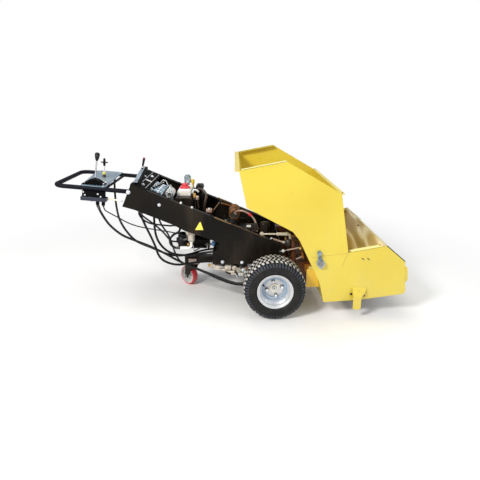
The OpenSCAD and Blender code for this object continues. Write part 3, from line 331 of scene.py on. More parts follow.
# Brown for black parts by the hopper: a painted reflection of the yellow hopper, its streaks painted bright bars;
# also a dark sheet for painted shade.
paint("arm_brown", (0.13, 0.035, 0.012), (0.05, 0.016, 0.008), rough=0.4, dust_and_painted_light=(0.3, 0.11, 0.02),
      dust_and_painted_light_share=0.4, wear=0.7, worn=(0.02, 0.015, 0.012), shine=0.3)
paint("pale_pipe", (0.62, 0.5, 0.42), (0.38, 0.24, 0.18), rough=0.35, dust_and_painted_light=(0.2, 0.1, 0.06),
      dust_and_painted_light_share=0.5, wear=0.3)
metal("cast_cream", (0.8, 0.73, 0.62), (0.3, 0.26, 0.21), rough=0.45, metallic=0.35, grain=30)
# Golden brown: dust on some parts; on the frame's top flange and a lift bar, a painted reflection of the yellow
# hopper.
paint("gold_dust", (0.62, 0.36, 0.06), (0.16, 0.09, 0.03), rough=0.35, dust_and_painted_light_share=0.2, wear=0.3)
plastic("brake_red", (0.22, 0.03, 0.02), (0.12, 0.02, 0.015), rough=0.4)
plastic("bar_black", (0.005, 0.006, 0.012), (0.004, 0.004, 0.009), rough=0.5, shine=0.12)
plastic("cover_black", (0.004, 0.004, 0.004), (0.003, 0.003, 0.003), rough=0.55, shine=0.05)
plastic("tray_navy", (0.022, 0.027, 0.048), (0.014, 0.018, 0.034), rough=0.3)
metal("spool_blue", (0.42, 0.54, 0.61), (0.08, 0.13, 0.17), rough=0.25, metallic=0.55, grain=38)
metal("mottled_zinc", (0.6, 0.72, 0.8), (0.05, 0.08, 0.11), rough=0.25, metallic=0.5, grain=34)
metal("bright_alloy", (0.92, 0.95, 0.94), (0.42, 0.45, 0.45), rough=0.3, metallic=0.4, grain=40)
# Black hose whose brown patches are painted highlights.
plastic("hose_brown", (0.016, 0.011, 0.01), (0.01, 0.007, 0.006), rough=0.4, dust_and_painted_light=(0.3, 0.17, 0.13),
        dust_and_painted_light_share=0.5)
metal("brass", (0.72, 0.5, 0.18), (0.5, 0.33, 0.11), rough=0.3)
metal("bolt_dark", (0.16, 0.15, 0.14), (0.07, 0.065, 0.06), rough=0.45, rust=0.25)
plastic("cream_paint", (0.88, 0.82, 0.7), (0.78, 0.7, 0.56), rough=0.45, dust_and_painted_light=(0.35, 0.28, 0.18),
        dust_and_painted_light_share=0.2)
plastic("blue_cap", (0.07, 0.2, 0.42), (0.03, 0.1, 0.24), rough=0.4, grain=60)
plastic("sign_yellow", (0.93, 0.8, 0.12), (0.9, 0.75, 0.09), rough=0.4, dust_and_painted_light=(0.5, 0.42, 0.2),
        dust_and_painted_light_share=0.15)
metal("rust_brown", (0.3, 0.17, 0.09), (0.16, 0.09, 0.05), rough=0.7, rust=0.5, metallic=0.3)
metal("weld", (0.75, 0.6, 0.12), (0.55, 0.42, 0.08), rough=0.45, metallic=0.1, grain=220, bump=0.001)
metal("pink_plate", (0.5, 0.4, 0.36), (0.36, 0.27, 0.24), rough=0.55, metallic=0.4, rust=0.25)

# The finish of each CAD node: its own here, or else the one of its slot
OWN_LOOKS = {
    # The rear gussets' gold is a painted lit copy of the hopper yellow; the hopper arms' brown is a painted
    # reflection of the hopper on black.
    "rear_gussets": "gusset_painted_light_gold", "hopper_arms": "arm_brown", "hydraulic_pipe": "cream_paint",
    "wheel_motors": "bolt_dark", "auger_bearings": "mottled_zinc", "drive_pump": "bolt_dark",
    "return_filter": "cast_cream", "handlebar": "bar_black", "valve_block": "engine_iron",
    "dash_strip": "mottled_zinc", "dash_console": "cover_black", "lever_quadrant": "cover_black",
    "gear_pump": "bright_alloy", "filter_head": "mottled_zinc"}
slot_of = {s["node"]: s["material_slot"] for s in frame["record"]["subparts"]}
for name, obj in nodes.items():
    obj.data.materials.clear()
    obj.data.materials.append(LOOKS[OWN_LOOKS.get(name, slot_of[name])])


def smooth_route(points, count):
    """A smooth curve through the points, as many places along it as asked."""
    p = [Vector(q) for q in points]
    out = []
    for k in range(count):
        s = k * (len(p) - 1) / (count - 1)
        i = min(int(s), len(p) - 2)
        t = s - i
        a, b, c, d = p[max(i - 1, 0)], p[i], p[i + 1], p[min(i + 2, len(p) - 1)]
        out.append(0.5 * (2 * b + (c - a) * t + (2 * a - 5 * b + 4 * c - d) * t * t
                          + (3 * b - a - 3 * c + d) * t ** 3))
    return out


def make_cord(name, points, diameter, look="hose_rubber", stands_for=None,
              count=32):
    """A hose or cable through points in millimetres, at rest on the frame."""
    route = [place(*q) for q in smooth_route(points, count)]
    data = bpy.data.curves.new(name, "CURVE")
    data.dimensions = "3D"
    data.bevel_depth = diameter / 2000
    data.bevel_resolution = 4
    data.resolution_u = 3
    data.use_fill_caps = True
    spline = data.splines.new("BEZIER")
    spline.bezier_points.add(count - 1)
    for k, (knot, at) in enumerate(zip(spline.bezier_points, route)):
        step = route[min(k + 1, count - 1)] - route[max(k - 1, 0)]
        reach = 1 / 6 if 0 < k < count - 1 else 1 / 3
        knot.co = at
        knot.handle_left = at - step * reach
        knot.handle_right = at + step * reach
    cord = bpy.data.objects.new(name, data)
    scene.collection.objects.link(cord)
    data.materials.append(LOOKS[look])
    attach(cord, "frame")
    if stands_for:
        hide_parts(stands_for)


# Cords: name, CAD node, diameter and route
CORDS = (
    ("motor_hose_right", "hose_right", 16, (
        (-1179.3, -278.7, 712.4), (-1160, -275, 655), (-1115, -265, 570), (-1040, -255, 495),
        (-955, -250, 452), (-860, -245, 410), (-755, -238, 352), (-650, -230, 285),
        (-540, -225, 232), (-415, -250, 190), (-260, -300, 150), (-150, -325, 163),
        (-77, -330, 183))),
    ("motor_hose_left", "hose_left", 16, (
        (-1185, 200, 838.9), (-1194, 196, 740), (-1182, 160, 600), (-1130, 70, 487),
        (-998, -90, 405), (-860, -165, 368), (-725, -140, 302), (-620, -50, 268),
        (-500, 80, 258), (-370, 200, 225), (-240, 280, 158), (-150, 325, 163), (-77, 330, 183))),
    ("grip_cable", "control_cable", 8, (
        (-1141.6, -278.7, 709.0), (-1132, -277, 676), (-1090, -274, 647), (-1050, -270, 622),
        (-998, -262, 587), (-940, -258, 561), (-865, -255, 541), (-790, -255, 528),
        (-714, -255, 515), (-640, -252, 497), (-587, -245, 476))),
    ("valve_hose", "hose_valve", 16, (
        (-925, -150, 678.3), (-930, -154, 628), (-912, -162, 580), (-883, -175, 516),
        (-851, -186, 450), (-824, -190, 380), (-808, -190, 325), (-777, -186, 280),
        (-720, -175, 247), (-650, -160, 234), (-545, -135, 240), (-460, -115, 240),
        (-373, -105, 240))),
    ("pump_hose", "hose_pump", 16, (
        (-820, -200, 634.5), (-822, -200, 570), (-820, -200, 508), (-812, -195, 455),
        (-795, -190, 411), (-765, -184, 368), (-723, -176, 333), (-665, -166, 312),
        (-585, -156, 306), (-500, -150, 318), (-414, -150, 330))),
    ("suction_hose", "hose_loop", 16, (
        (-640.3, -245, 392.7), (-675, -245, 395), (-706, -241, 418), (-712, -232, 453),
        (-688, -218, 482), (-655, -208, 498), (-642, -202, 525), (-640, -200, 559.4))),
    ("cross_hose", None, 12, (
        (-912, -222, 672.5), (-920, -222, 640), (-905, -222, 606), (-880, -222, 583),
        (-845, -222, 566), (-796, -222, 557), (-740, -222, 551), (-700, -221, 548),
        (-672, -220, 554), (-660, -220, 567.5))),
    ("filter_hose", None, 12, (
        (-893, -240, 664.7), (-898, -240, 636), (-878, -240, 614), (-840, -240, 584),
        (-794, -242, 546), (-752, -249, 507), (-724, -256, 474), (-698, -258, 450),
        (-665, -255, 444), (-625, -250, 450), (-588, -246, 462))),
    ("drain_hose", None, 12, (
        (-785, -180, 619.5), (-790, -182, 585), (-770, -186, 535), (-738, -196, 492),
        (-717, -204, 448), (-703, -208, 405), (-690, -206, 360), (-676, -200, 315),
        (-650, -192, 272), (-600, -186, 236), (-540, -192, 212), (-470, -212, 190),
        (-400, -238, 165), (-300, -272, 137), (-200, -292, 130), (-110, -292, 148),
        (-56, -290, 180))),
)
for name, node, diameter, points in CORDS:
    make_cord(name, points, diameter, stands_for=node)


def spot(at):
    """A place that is given as millimetres, or already is one."""
    return at if isinstance(at, Vector) else place(*at)


def ring_of(count, start=0.0):
    """So many directions evenly round in the upright plane along the machine."""
    angles = [start + 2 * pi * k / count for k in range(count)]
    return [Vector((cos(a), 0, sin(a))) for a in angles]


class Form:
    """One mesh of several small solids. Lengths and places are in millimetres."""

    def __init__(self, name, look, slot="zinc_steel", body="frame", stands_for=None, smooth=38):
        self.name, self.body, self.slot, self.smooth = name, body, slot, smooth
        self.looks = [look]
        self.stands_for = stands_for
        self.mesh = bmesh.new()

    def face(self, corners, look=None):
        look = look or self.looks[0]
        if look not in self.looks:
            self.looks.append(look)
        self.mesh.faces.new(corners).material_index = self.looks.index(look)

    def skin(self, rings, look, closed=False):
        """Faces between rings of points, capped unless the last ring joins the first."""
        pairs = list(zip(rings, rings[1:]))
        if closed:
            pairs.append((rings[-1], rings[0]))
        for low, high in pairs:
            for k in range(len(low)):
                n = (k + 1) % len(low)
                self.face((low[k], low[n], high[n], high[k]), look)
        if not closed:
            self.face(rings[0][::-1], look)
            self.face(rings[-1], look)

    def circle(self, at, side, other, r, angles):
        return [self.mesh.verts.new(at + (side * cos(a) + other * sin(a)) * r / 1000) for a in angles]

    def turn(self, at, along, profile, sides=24, look=None, closed=False, phase=0.0):
        """A profile of (radius, height) turned about a line from a place."""
        at = spot(at)
        along = Vector(along).normalized()
        side = X if abs(along.y) > 0.9 else along.orthogonal().normalized()
        angles = [2 * pi * k / sides + phase for k in range(sides)]
        self.skin([self.circle(at + along * h / 1000, side, along.cross(side), r, angles)
                   for r, h in profile], look, closed)

    def turns(self, at, along, *rows):
        """Several profiles on one line, each row with what turn is given after them."""
        for row in rows:
            self.turn(at, along, *row)

    def bolt(self, at, along, size, washer, look=None):
        """A hexagon head with rounded corners on a washer; size is the thread."""
        wide = size * 0.86
        washer_rim = [(size * 1.15, -0.3), (size * 1.15, washer * 0.8), (size * 1.1, washer)]
        head = [(wide, washer - 0.2), (wide, washer + size * 0.5), (wide * 0.9, washer + size * 0.62)]
        thread = [(size * 0.45, washer + size * 0.5), (size * 0.45, washer + size * 0.72),
                  (size * 0.36, washer + size * 0.8)]
        self.turn(at, along, washer_rim, 24, look)
        self.turn(at, along, head, 6, look, phase=rng.random() * 6)
        self.turn(at, along, thread, 16, look)

    def dome(self, at, along, r, h, look=None):
        self.turn(at, along, [(r, -0.3), (r, h * 0.3), (r * 0.82, h * 0.72), (r * 0.45, h)], 20, look)

    def slab(self, corners, push, look=None):
        """A flat plate: its outline and how far and where it is drawn out."""
        push = Vector(push) / 1000
        corners = [spot(c) for c in corners]
        self.skin([[self.mesh.verts.new(c) for c in corners],
                   [self.mesh.verts.new(c + push) for c in corners]], look)

    def block(self, a, b, look=None):
        outline = ((a[0], a[1]), (b[0], a[1]), (b[0], b[1]), (a[0], b[1]))
        self.slab([(x, y, a[2]) for x, y in outline], (0, 0, b[2] - a[2]), look)

    def tube(self, points, r, sides=10, look=None, count=None):
        """A round bar or pipe through places, kept from twisting."""
        route = [place(*q) for q in (smooth_route(points, count) if count else points)]
        angles = [2 * pi * j / sides for j in range(sides)]
        side = None
        rings = []
        for k, at in enumerate(route):
            along = (route[min(k + 1, len(route) - 1)] - route[max(k - 1, 0)]).normalized()
            if side is None:
                side = along.orthogonal().normalized()
            side = (side - along * side.dot(along)).normalized()
            rings.append(self.circle(at, side, along.cross(side), r, angles))
        self.skin(rings, look)

    def done(self, soften=0.0):
        """Make the piece, smooth over the blunt edges and bevelled where soften is given."""
        bmesh.ops.recalc_face_normals(self.mesh, faces=self.mesh.faces)
        sharp = radians(self.smooth)
        for edge in self.mesh.edges:
            edge.smooth = len(edge.link_faces) == 2 and edge.calc_face_angle(0) < sharp
        for face in self.mesh.faces:
            face.smooth = True
        data = bpy.data.meshes.new(self.name)
        self.mesh.to_mesh(data)
        self.mesh.free()
        made = bpy.data.objects.new(self.name, data)
        scene.collection.objects.link(made)
        for look in self.looks:
            data.materials.append(LOOKS[look])
        if soften:
            bevel = made.modifiers.new("soften", "BEVEL")
            bevel.width = soften / 1000
            bevel.segments = 2
            bevel.limit_method = "ANGLE"
            bevel.angle_limit = radians(50)
        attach(made, self.body)
        if self.stands_for:
            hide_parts(self.stands_for)


# A tyre's section from bead to crown, as radius and offset from its middle
TYRE_SECTION = ((104.6, 77.5), (118.8, 81), (124.3, 87), (131, 91.5), (140.3, 93.5), (153.3, 95),
                (164, 94), (166, 94.6), (168, 93.6), (171.3, 92), (185.3, 86), (195.3, 76),
                (200.3, 64), (202.8, 50), (203.2, 36), (203.2, 0))
TYRE_INSIDE = ((104.6, -70), (118, -74), (150, -84), (176, -76), (188, -56), (190, 0), (188, 56),
               (176, 76), (150, 84), (118, 74), (104.6, 70))
TREAD_FROM = 171  # Radius from which the tread bars cover the carcass
TREAD_DEEP = 6.5  # How far the carcass lies under their tops
WHEEL_OFF = 475  # From the machine's middle to a wheel's, across


def tread_line():
    """The tyre's outside from one shoulder over the crown to the other, by length along it."""
    half = [(r, t) for r, t in TYRE_SECTION if r > TREAD_FROM]
    points = half + [(r, -t) for r, t in reversed(half[:-1])]
    lengths = [0.0]
    for (r0, t0), (r1, t1) in zip(points, points[1:]):
        lengths.append(lengths[-1] + hypot(r1 - r0, t1 - t0))
    return points, lengths


TREAD, TREAD_LENGTHS = tread_line()


def tread_at(u, depth):
    """Radius and offset at a length along the tread, so deep under it."""
    i = max(k for k in range(len(TREAD) - 1) if TREAD_LENGTHS[k] <= max(u, 0))
    start, step = Vector(TREAD[i]), Vector(TREAD[i + 1]) - Vector(TREAD[i])
    share = (u - TREAD_LENGTHS[i]) / (TREAD_LENGTHS[i + 1] - TREAD_LENGTHS[i])
    slope = step.normalized()
    down = Vector((slope.y, -slope.x))
    if down.x > 0:
        down = -down
    return start + step * share + down * depth


def tread_block(form, centre, u0, u1, a0, a1, skew, deep, look):
    """One block between two lengths across the tread and two turns about the axle."""
    along, around = 3, 2

    def point(s, w, depth):
        r, t = tread_at(u0 + (u1 - u0) * s, depth)
        a = a0 + (a1 - a0) * w + skew * (s - 0.5)
        return form.mesh.verts.new(centre + Vector((r * cos(a), t, r * sin(a))) / 1000)

    def on_rim(i, j):
        return i in (0, along) or j in (0, around)

    top = [[point(i / along, j / around, 0.6 if on_rim(i, j) else 0.0) for j in range(around + 1)]
           for i in range(along + 1)]
    for i in range(along):
        for j in range(around):
            form.face((top[i][j], top[i + 1][j], top[i + 1][j + 1], top[i][j + 1]), look)
    rim = ([(0, j) for j in range(around)] + [(i, around) for i in range(along)]
           + [(along, j) for j in range(around, 0, -1)] + [(i, 0) for i in range(along, 0, -1)])
    wide = 0.05
    grown = 1 + 2 * wide
    low = [point(i / along * grown - wide, j / around * grown - wide, deep) for i, j in rim]
    high = [top[i][j] for i, j in rim]
    for k in range(len(rim)):
        n = (k + 1) % len(rim)
        form.face((high[k], low[k], low[n], high[n]))


def carcass(r, t):
    """A point of the tyre's section, sunk under the tread bars, less so near their edge."""
    if r <= TREAD_FROM:
        return r, t
    beyond = r - TREAD_FROM
    sink = min(beyond / 14, 1) * TREAD_DEEP
    return r - sink * min(beyond / 30, 1), t - (sink * 0.6 if t > 40 else 0)


def make_tyre(side, label):
    centre = place(0, WHEEL_OFF * side, AXLE_Z * 1000)
    form = Form("tyre_" + label + "_tread", "tyre_rubber", "tyre_rubber", "wheel_" + label,
                "tyre_" + label, smooth=34)
    half = [carcass(r, t) for r, t in TYRE_SECTION]
    outside = [(r, -t) for r, t in half] + list(reversed(half[:-1]))
    form.turn(centre, Y, outside + list(TYRE_INSIDE), 96, closed=True)
    total = TREAD_LENGTHS[-1]
    # Each row from where to where, its share of the pitch, shift, skew, count and finish
    # The crown's pale bars carry dust and painted sunlight.
    rows = ((0.5, 31, 0.45, 0.0, 0.02, 58, "shoulder_rubber"),
            (35, 60, 0.52, 0.0, 0.03, 42, "tread_dust_and_sunlight"),
            (65, 90, 0.52, 0.5, -0.03, 42, "tread_dust_and_sunlight"),
            (95, total / 2 - 3, 0.52, 0.1, 0.03, 42, "tread_dust_and_sunlight"))
    for u0, u1, share, shift, skew, count, look in rows:
        pitch = 2 * pi / count
        for k in range(count):
            a0 = (k + shift) * pitch
            a1 = a0 + pitch * share
            tread_block(form, centre, u0, u1, a0, a1, skew, TREAD_DEEP + 1.5, look)
            tread_block(form, centre, total - u1, total - u0, a0, a1, -skew, TREAD_DEEP + 1.5, look)
    form.done()


def dress_wheel(side, label):
    """The rim's dusty ring on the hub, valve, nuts' faces and rings of painted sky reflection."""
    out = Y * side
    centre = place(0, WHEEL_OFF * side, AXLE_Z * 1000)
    form = Form("rim_" + label + "_details", "cream_paint", "rim_silver", "wheel_" + label)
    form.turn(centre + out * 0.0203, out,
              [(16.5, -0.2), (29, -0.2), (29.6, 0.8), (28, 1.6), (17.5, 1.6), (16.5, 0.8)], 48,
              closed=True)
    form.turn(centre + out * 0.0258, out, [(14, 0), (14, 1), (11, 2.4), (6, 2.4)], 32, "bright_alloy")
    form.turn(centre + out * 0.028, out, [(5, 0), (5, 0.8)], 20, "bolt_dark")
    seat = centre + out * 0.031
    valve_way = ring_of(1, radians(157))[0]
    foot = seat + valve_way * 0.0915
    up = (out * 0.9 - valve_way * 0.44).normalized()
    form.turn(foot, up, [(8, -3), (8, 2), (5.5, 7), (4.6, 24), (4.6, 28)], 16, "black_plastic")
    form.turn(foot + up * 0.028, up, [(4.2, 0), (4.2, 9), (3.4, 10)], 12, "black_plastic")
    for away in ring_of(4, radians(11)):
        form.turn(seat + away * 0.0508, out, [(7.5, -2), (8.5, 0), (8.5, 9), (6, 11)], 16, "bolt_bright")
    # Two blue rings on the rim: a painted reflection of the sky.
    for r0, r1, at in ((64, 79, 27), (82, 92, 44)):
        form.turn(centre + out * at / 1000, out, [(r0, 0), (r1, 0.6), (r1, 1.0), (r0, 0.4)], 96,
                  "painted_sky_reflection", closed=True)
    form.done()


for make in (make_tyre, dress_wheel):
    make(-1, "right")
    make(1, "left")


def piece(name, look, slot="zinc_steel", body="frame", stands_for=None, smooth=38, soften=0.0, **rows):
    """A whole piece: under the name of each of Form's solids, what its calls are given."""
    form = Form(name, look, slot, body, stands_for, smooth)
    for solid, calls in rows.items():
        for given in calls:
            getattr(form, solid)(*given)
    form.done(soften)


def dress_castor():
    """Nuts of the castor's axle and bolts of its core."""
    low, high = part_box("castor_core")
    mid = (Vector(low) + Vector(high)) / 2
    turned = radians(-43)
    axis = Vector((-sin(turned), cos(turned), 0))
    flat = axis.cross(Z).normalized()
    piece("castor_axle_nuts", "zinc_steel", body="castor_swivel", bolt=[
        (mid + axis * side * 0.0333, axis * side, 9, 2) for side in SIDES])
    piece("castor_core_bolts", "bolt_dark", body="castor_wheel", dome=[
        (mid + (flat * away.x + Z * away.z) * 0.034 + axis * side * 0.0092, axis * side, 4, 2.4)
        for side in SIDES for away in ring_of(6)])


dress_castor()
piece("castor_mount_bolts", "bolt_dark", bolt=[
    ((x, y, 190), -Z, 9, 2) for x in (-620, -540) for y in (-31, 31)])


# Frame: bolts, dust and a painted reflection on its top edges, and the blank triangle
def top_edge(x):
    """Height of the side plate's top edge at a length, in mm."""
    rear, front = (-944, 857), (68, 434)
    return rear[1] + (front[1] - rear[1]) * (x - rear[0]) / (front[0] - rear[0])


piece("frame_bolts", "bolt_bright",
      bolt=[((x, 300 * side, z), Y * side, size, 2.2) for side in SIDES for x, z, size in (
          (-963, 804, 12), (-763, 717, 9.5), (-618, 731, 7), (-545, 700, 7), (-345, 308, 10),
          (-210, 304, 10), (-120, 304, 10), (-30, 306, 10))] + [((-5, -264, 465), Z, 9, 2)],
      dome=[((x, 300 * side, z), Y * side, 4, 1.6, "frame_black") for side in SIDES
            for x, z in ((-440, 520), (-180, 470), (-60, 380), (-230, 340))])
# The wide golden strip on the top flange is a painted reflection of the yellow hopper; the thin brown line is
# dust.
piece("flange_dust_and_reflection", "gold_dust", "frame_black", smooth=60, tube=[
    ([(x, 298 * side, top_edge(x) + 0.6) for x in (x0, (x0 + x1) / 2, x1)], r, 8, look)
    for side in SIDES for x0, x1, r, look in ((-396, -285, 4.5, None), (-285, -53, 1.6, "rust_brown"))])
piece("blank_triangle", "sign_yellow", "yellow_plastic", slab=[(
    [(x + 4 * cos(radians(a)), -300.1, z + 4 * sin(radians(a)))
     for x, z, first, step in ((-524, 545, 210, 15), (-476, 545, -90, 15), (-493, 594, 30, 30))
     for a in range(first, first + 5 * step, step)], (0, -0.5, 0))])


# Hopper and screed box: bolts, slots, seams, painted sunlight on the flanges' tops, and a painted shadow line and
# highlight along the front's edges
def slanted_slot(x, side):
    outline = []
    for k in range(16):
        a = 2 * pi * k / 16
        along, across = 7 * cos(a) + copysign(4, cos(a)), 3.4 * sin(a)
        outline.append((x + 0.8 * along + 0.6 * across, 500.05 * side,
                        404 - 0.6 * along + 0.8 * across))
    return outline


def weld_bead(a, b, side):
    """A bead on the hopper's side sheet that wavers across it."""
    step = Vector(b) - Vector(a)
    count = int(step.length / 7)
    return [(a[0] + step.x * k / count, (500.2 + k % 2 * 0.6) * side, a[1] + step.y * k / count)
            for k in range(count + 1)]


piece("hopper_bolts", "bolt_bright",
      bolt=[row for side in SIDES for row in (
          ((506, 500 * side, 158), Y * side, 7, 2, "bolt_dark"),
          ((524, 500 * side, 161), Y * side, 6, 2, "bolt_dark"),
          ((592, 500 * side, 146), Y * side, 7, 2, "bolt_dark"),
          ((677, 470 * side, 489), Z, 6, 1.4, "weld"))]
      + [((691, 45, 462), (-0.784, 0, 0.62), 6, 8, "bolt_dark")]
      + [((875, y, 296), X, 8, 1.6, "bolt_dark") for y in (-330, -110, 110, 330)],
      slab=[(slanted_slot(x, side), (0, 0.4 * side, 0), "bolt_dark") for side in SIDES
            for x in (567, 602)],
      dome=[((414, y, 833), Z, 5, 4, "bolt_dark") for y in (-470, 470)])
# Pale strips on the side sheets' top flanges: painted sunlight.
piece("painted_sunlit_flanges", "sunlit_yellow", "hopper_yellow", slab=[
    ([(x0, 499 * side, z0), (x1, 499 * side, z1), (x1, 456 * side, z1), (x0, 456 * side, z0)], Z * 0.5)
    for side in SIDES for x0, z0, x1, z1 in ((488, 450.8, 688, 487.6), (-218, 982.2, 58, 1035.1))])
piece("hopper_seams", "weld", "hopper_yellow", smooth=60, tube=[
    (weld_bead(a, b, side), 1.5, 6) for side in SIDES
    for a, b in (((232, 416), (474, 445)), ((467, 441), (434, 349)))])
# Along the front's slanted edges: a black line, a painted shadow in the gap at the side sheet, and a cream line, a
# painted highlight on the slanted face.
piece("painted_edge_shadow_and_highlight", "black_plastic", "black_plastic", tube=[
    (((716, y * side, 491.5), (842.5, y * side, 384)), r, sides, look) for side in SIDES
    for y, r, sides, look in ((497.5, 3.4, 10, None), (490.5, 2.6, 8, "cream_paint"))])


def tilted(x, z, fall):
    """A plane that falls towards the front from x and z: places on it, along it and square to it."""
    def on_plane(u, v, w):
        return place(x + u * cos(fall) + w * sin(fall), v, z - u * sin(fall) + w * cos(fall))
    return on_plane, Vector((cos(fall), 0, -sin(fall))), Vector((sin(fall), 0, cos(fall)))


def leaning(degrees):
    return Vector((sin(radians(degrees)), 0, cos(radians(degrees))))


# Handlebar: levers, the control box's tray, bolts and the drive lever's slots
on_bar, BAR_ALONG, BAR_UP = tilted(-960, 803, radians(5.3))
BOX_MIDDLE = -278.7  # Across, of the control box
QUADRANT = 75.9  # Radius of the slots, a little proud of the quadrant's top
quadrant_top = [(QUADRANT * cos(a) - 250, QUADRANT * sin(a) - 20)
                for a in (radians(62 + 56 * k / 12) for k in range(13))]

piece("drive_lever_knob", "black_plastic", "black_plastic", stands_for="drive_lever", smooth=50, turns=[(
    on_bar(-245, -223.7, 53.9), leaning(10.3),
    ([(9, -0.2), (9, 4), (8, 5), (8.6, 7), (7.2, 8.2), (7.6, 10), (6, 11.5)],),
    ([(5, 4), (5, 132)], 20, "chrome_steel"),
    ([(6.4, 124), (6.4, 129), (9, 130), (10.2, 134), (12, 139), (14.6, 152), (16, 162), (16.2, 168),
      (15.2, 173), (13, 177), (9, 180), (4, 181)], 32),
    ([(16.3, 158), (16.7, 160), (16.3, 162)], 32, "bolt_dark", True))])
piece("feed_lever_cross", "black_plastic", "black_plastic", stands_for="feed_lever", smooth=50,
      turns=[(on_bar(-262, 40, 19.6), BAR_UP, ([(15, 0), (15, 4), (14, 5)], 32, "bolt_dark"),
              ([(11, 4), (12, 6), (12, 18), (10, 19)], 6, "bolt_dark"),
              ([(10, 18), (10, 22), (12, 23), (12, 34), (4, 35)], 6, "sign_yellow"),
              ([(4.5, 33), (4.5, 90)], 16, "white_plastic"),
              ([(6, 82), (8.5, 85), (8.5, 120), (8, 134), (5, 138)],))],
      turn=[(on_bar(-262, 40, 127.6) - way * 0.025, way,
             [(3.5, 0), (5, 2), (4.2, 12), (4.2, 38), (5, 48), (3.5, 50)], 16) for way in (BAR_ALONG, Y)])
piece("throttle_grip", "black_plastic", "black_plastic", stands_for="throttle_lever", smooth=50, turns=[(
    (-962, 150, 886.5), leaning(14), ([(8, 2.5), (8, 9), (6.5, 10.5)],),
    ([(4, 5), (4, 30)], 16, "white_plastic"),
    ([(5, 22), (7, 28), (8, 50), (9.2, 70), (9.6, 82)],),
    ([(9.6, 81.5), (9, 86), (5, 90)], 24, "brake_red"))])
piece("control_box_tray", "cover_black", "frame_black", stands_for="control_box", soften=3.0,
      slab=[([on_bar(u, BOX_MIDDLE + v, low) for u, v in ((u0, -half), (u1, -half), (u1, half), (u0, half))],
             BAR_UP * (high - low), look)
            for u0, u1, half, low, high, look in ((-308, -162, 20, -54, -15.3, None),
                                                  (-316, -148, 27, -80, -54, "tray_navy"))],
      turn=[(on_bar(u, BOX_MIDDLE, -79), -BAR_UP, profile, sides, look) for u, profile, sides, look in (
          (-210, [(12, 0), (12, 24), (10, 31)], 20, None),
          (-172, [(12, 0), (12, 24), (10, 31)], 20, None),
          (-250, [(9, 0), (9, 5), (5, 6), (5, 12)], 6, "zinc_steel"))])
piece("handle_bolts", "bolt_bright",
      bolt=[(on_bar(u, -298.7, w), -Y, 5, 1.4)
            for u, w in ((-299, -24), (-288, -43), (-203, -30), (-184, -47))]
      + [(on_bar(u, v, 23.6), BAR_UP, 6, 1.4) for v in (-222, -164) for u in (-312, -190)],
      dome=[(on_bar(u, v, 19.3), BAR_UP, 6, 3)
            for u, v in ((-366, 270), (-206, 270), (-306, -250), (-180, -262))],
      turns=[(on_bar(-172, -262, -62), (1, 0, -0.19), ([(5.5, 0), (5.5, 124)], 12, "cream_paint"),
              ([(7, -4), (7, 10), (6, 12)], 6, "zinc_steel"),
              ([(6, 90), (8, 94), (8, 118), (6, 124)], 16, "bolt_bright"))])
piece("lever_slot", "bolt_dark", "black_plastic", slab=[
    ([on_bar(u0, v, w0), on_bar(u1, v, w1), on_bar(u1, v + 3, w1), on_bar(u0, v + 3, w0)], BAR_UP * 0.5)
    for v in (-236, -212) for (u0, w0), (u1, w1) in zip(quadrant_top, quadrant_top[1:])])


# Dash: seams, bolts and the blank label of its sloping cover
def on_cover(x, y, proud=3.6):
    return place(x, y, 857 - 0.418 * (x + 944) + proud)


def patch_on_cover(x0, x1, y0, y1):
    return [on_cover(x0, y0), on_cover(x1, y0), on_cover(x1, y1), on_cover(x0, y1)]


COVER_UP = Vector((0.3857, 0, 0.9226))
piece("dash_details", "bolt_dark",
      slab=[(patch_on_cover(-903.9, -901.1, 262, -262), COVER_UP * 0.6, "bolt_bright"),
            (patch_on_cover(-857.4, -854.6, 262, -262), COVER_UP * 0.6, "grey_plastic"),
            (patch_on_cover(-899, -858, -52, -26), COVER_UP * 0.8, "white_plastic")],
      bolt=[(on_cover(x, y), COVER_UP, 10, 3, "bolt_bright")
            for x, y in ((-918, 30), (-882, 114), (-884, -204))]
      + [(on_cover(x, 279 * side, 1.2), COVER_UP, 6, 1.2, "frame_black")
         for side in SIDES for x in (-930, -700, -420, -200, 0)])

# Valve block on the sloping floor: spools, caps, ribs and its arch pipe
on_floor, FLOOR_ALONG, FLOOR_UP = tilted(-912, 476.3 + (912 - 425) * 240 / 575, atan2(240, 575))
SPOOLS = (-108, -54, 0, 54, 108)
COLLAR = [(16.6, 0), (17.6, 3), (17.6, 9), (16.6, 12)]
SPOOL_END = [(16.5, -2), (17.4, 0), (17.4, 4), (16.5, 6)]
piece("valve_fittings", "zinc_steel",
      turn=[(on_floor(-26, y, 118), -FLOOR_ALONG, [(9, -0.5), (9, 7), (7.5, 8)], 6) for y in SPOOLS]
      + [(on_floor(46 + 8 * y / 54, y, 146), FLOOR_UP, [(8, -0.5), (8, 3), (5, 5)], 12) for y in SPOOLS],
      turns=[(on_floor(u, y, 118), FLOOR_ALONG, row) for y in SPOOLS for u, row in (
          (128, ([(8, -0.5), (8, 6), (6.5, 7)], 6)),
          (-6, (SPOOL_END, 24, "spool_blue")), (98, (SPOOL_END, 24, "spool_blue")),
          (0, ([(16.3, 4.5), (16.3, 94)], 32, "spool_blue")),
          (14, (COLLAR, 24, "bolt_bright")), (62, (COLLAR, 24, "bolt_bright")))],
      bolt=[(on_floor(92, y, 33), FLOOR_ALONG, 9, 2) for y in (-110, 0, 110)],
      tube=[(((-813, 50, 766), (-806, 50, 804), (-788, 50, 822), (-767, 50, 812), (-752, 50, 774)),
             4, 10, "bright_alloy")])
piece("valve_ribs", "spool_blue", "pump_alloy", slab=[
    ([on_floor(u, y, w) for u, w in ((-0.4, 6), (92.4, 6), (92.4, 67), (-0.4, 67))], (0, 4, 0))
    for y in (-83, -29, 25, 79)])


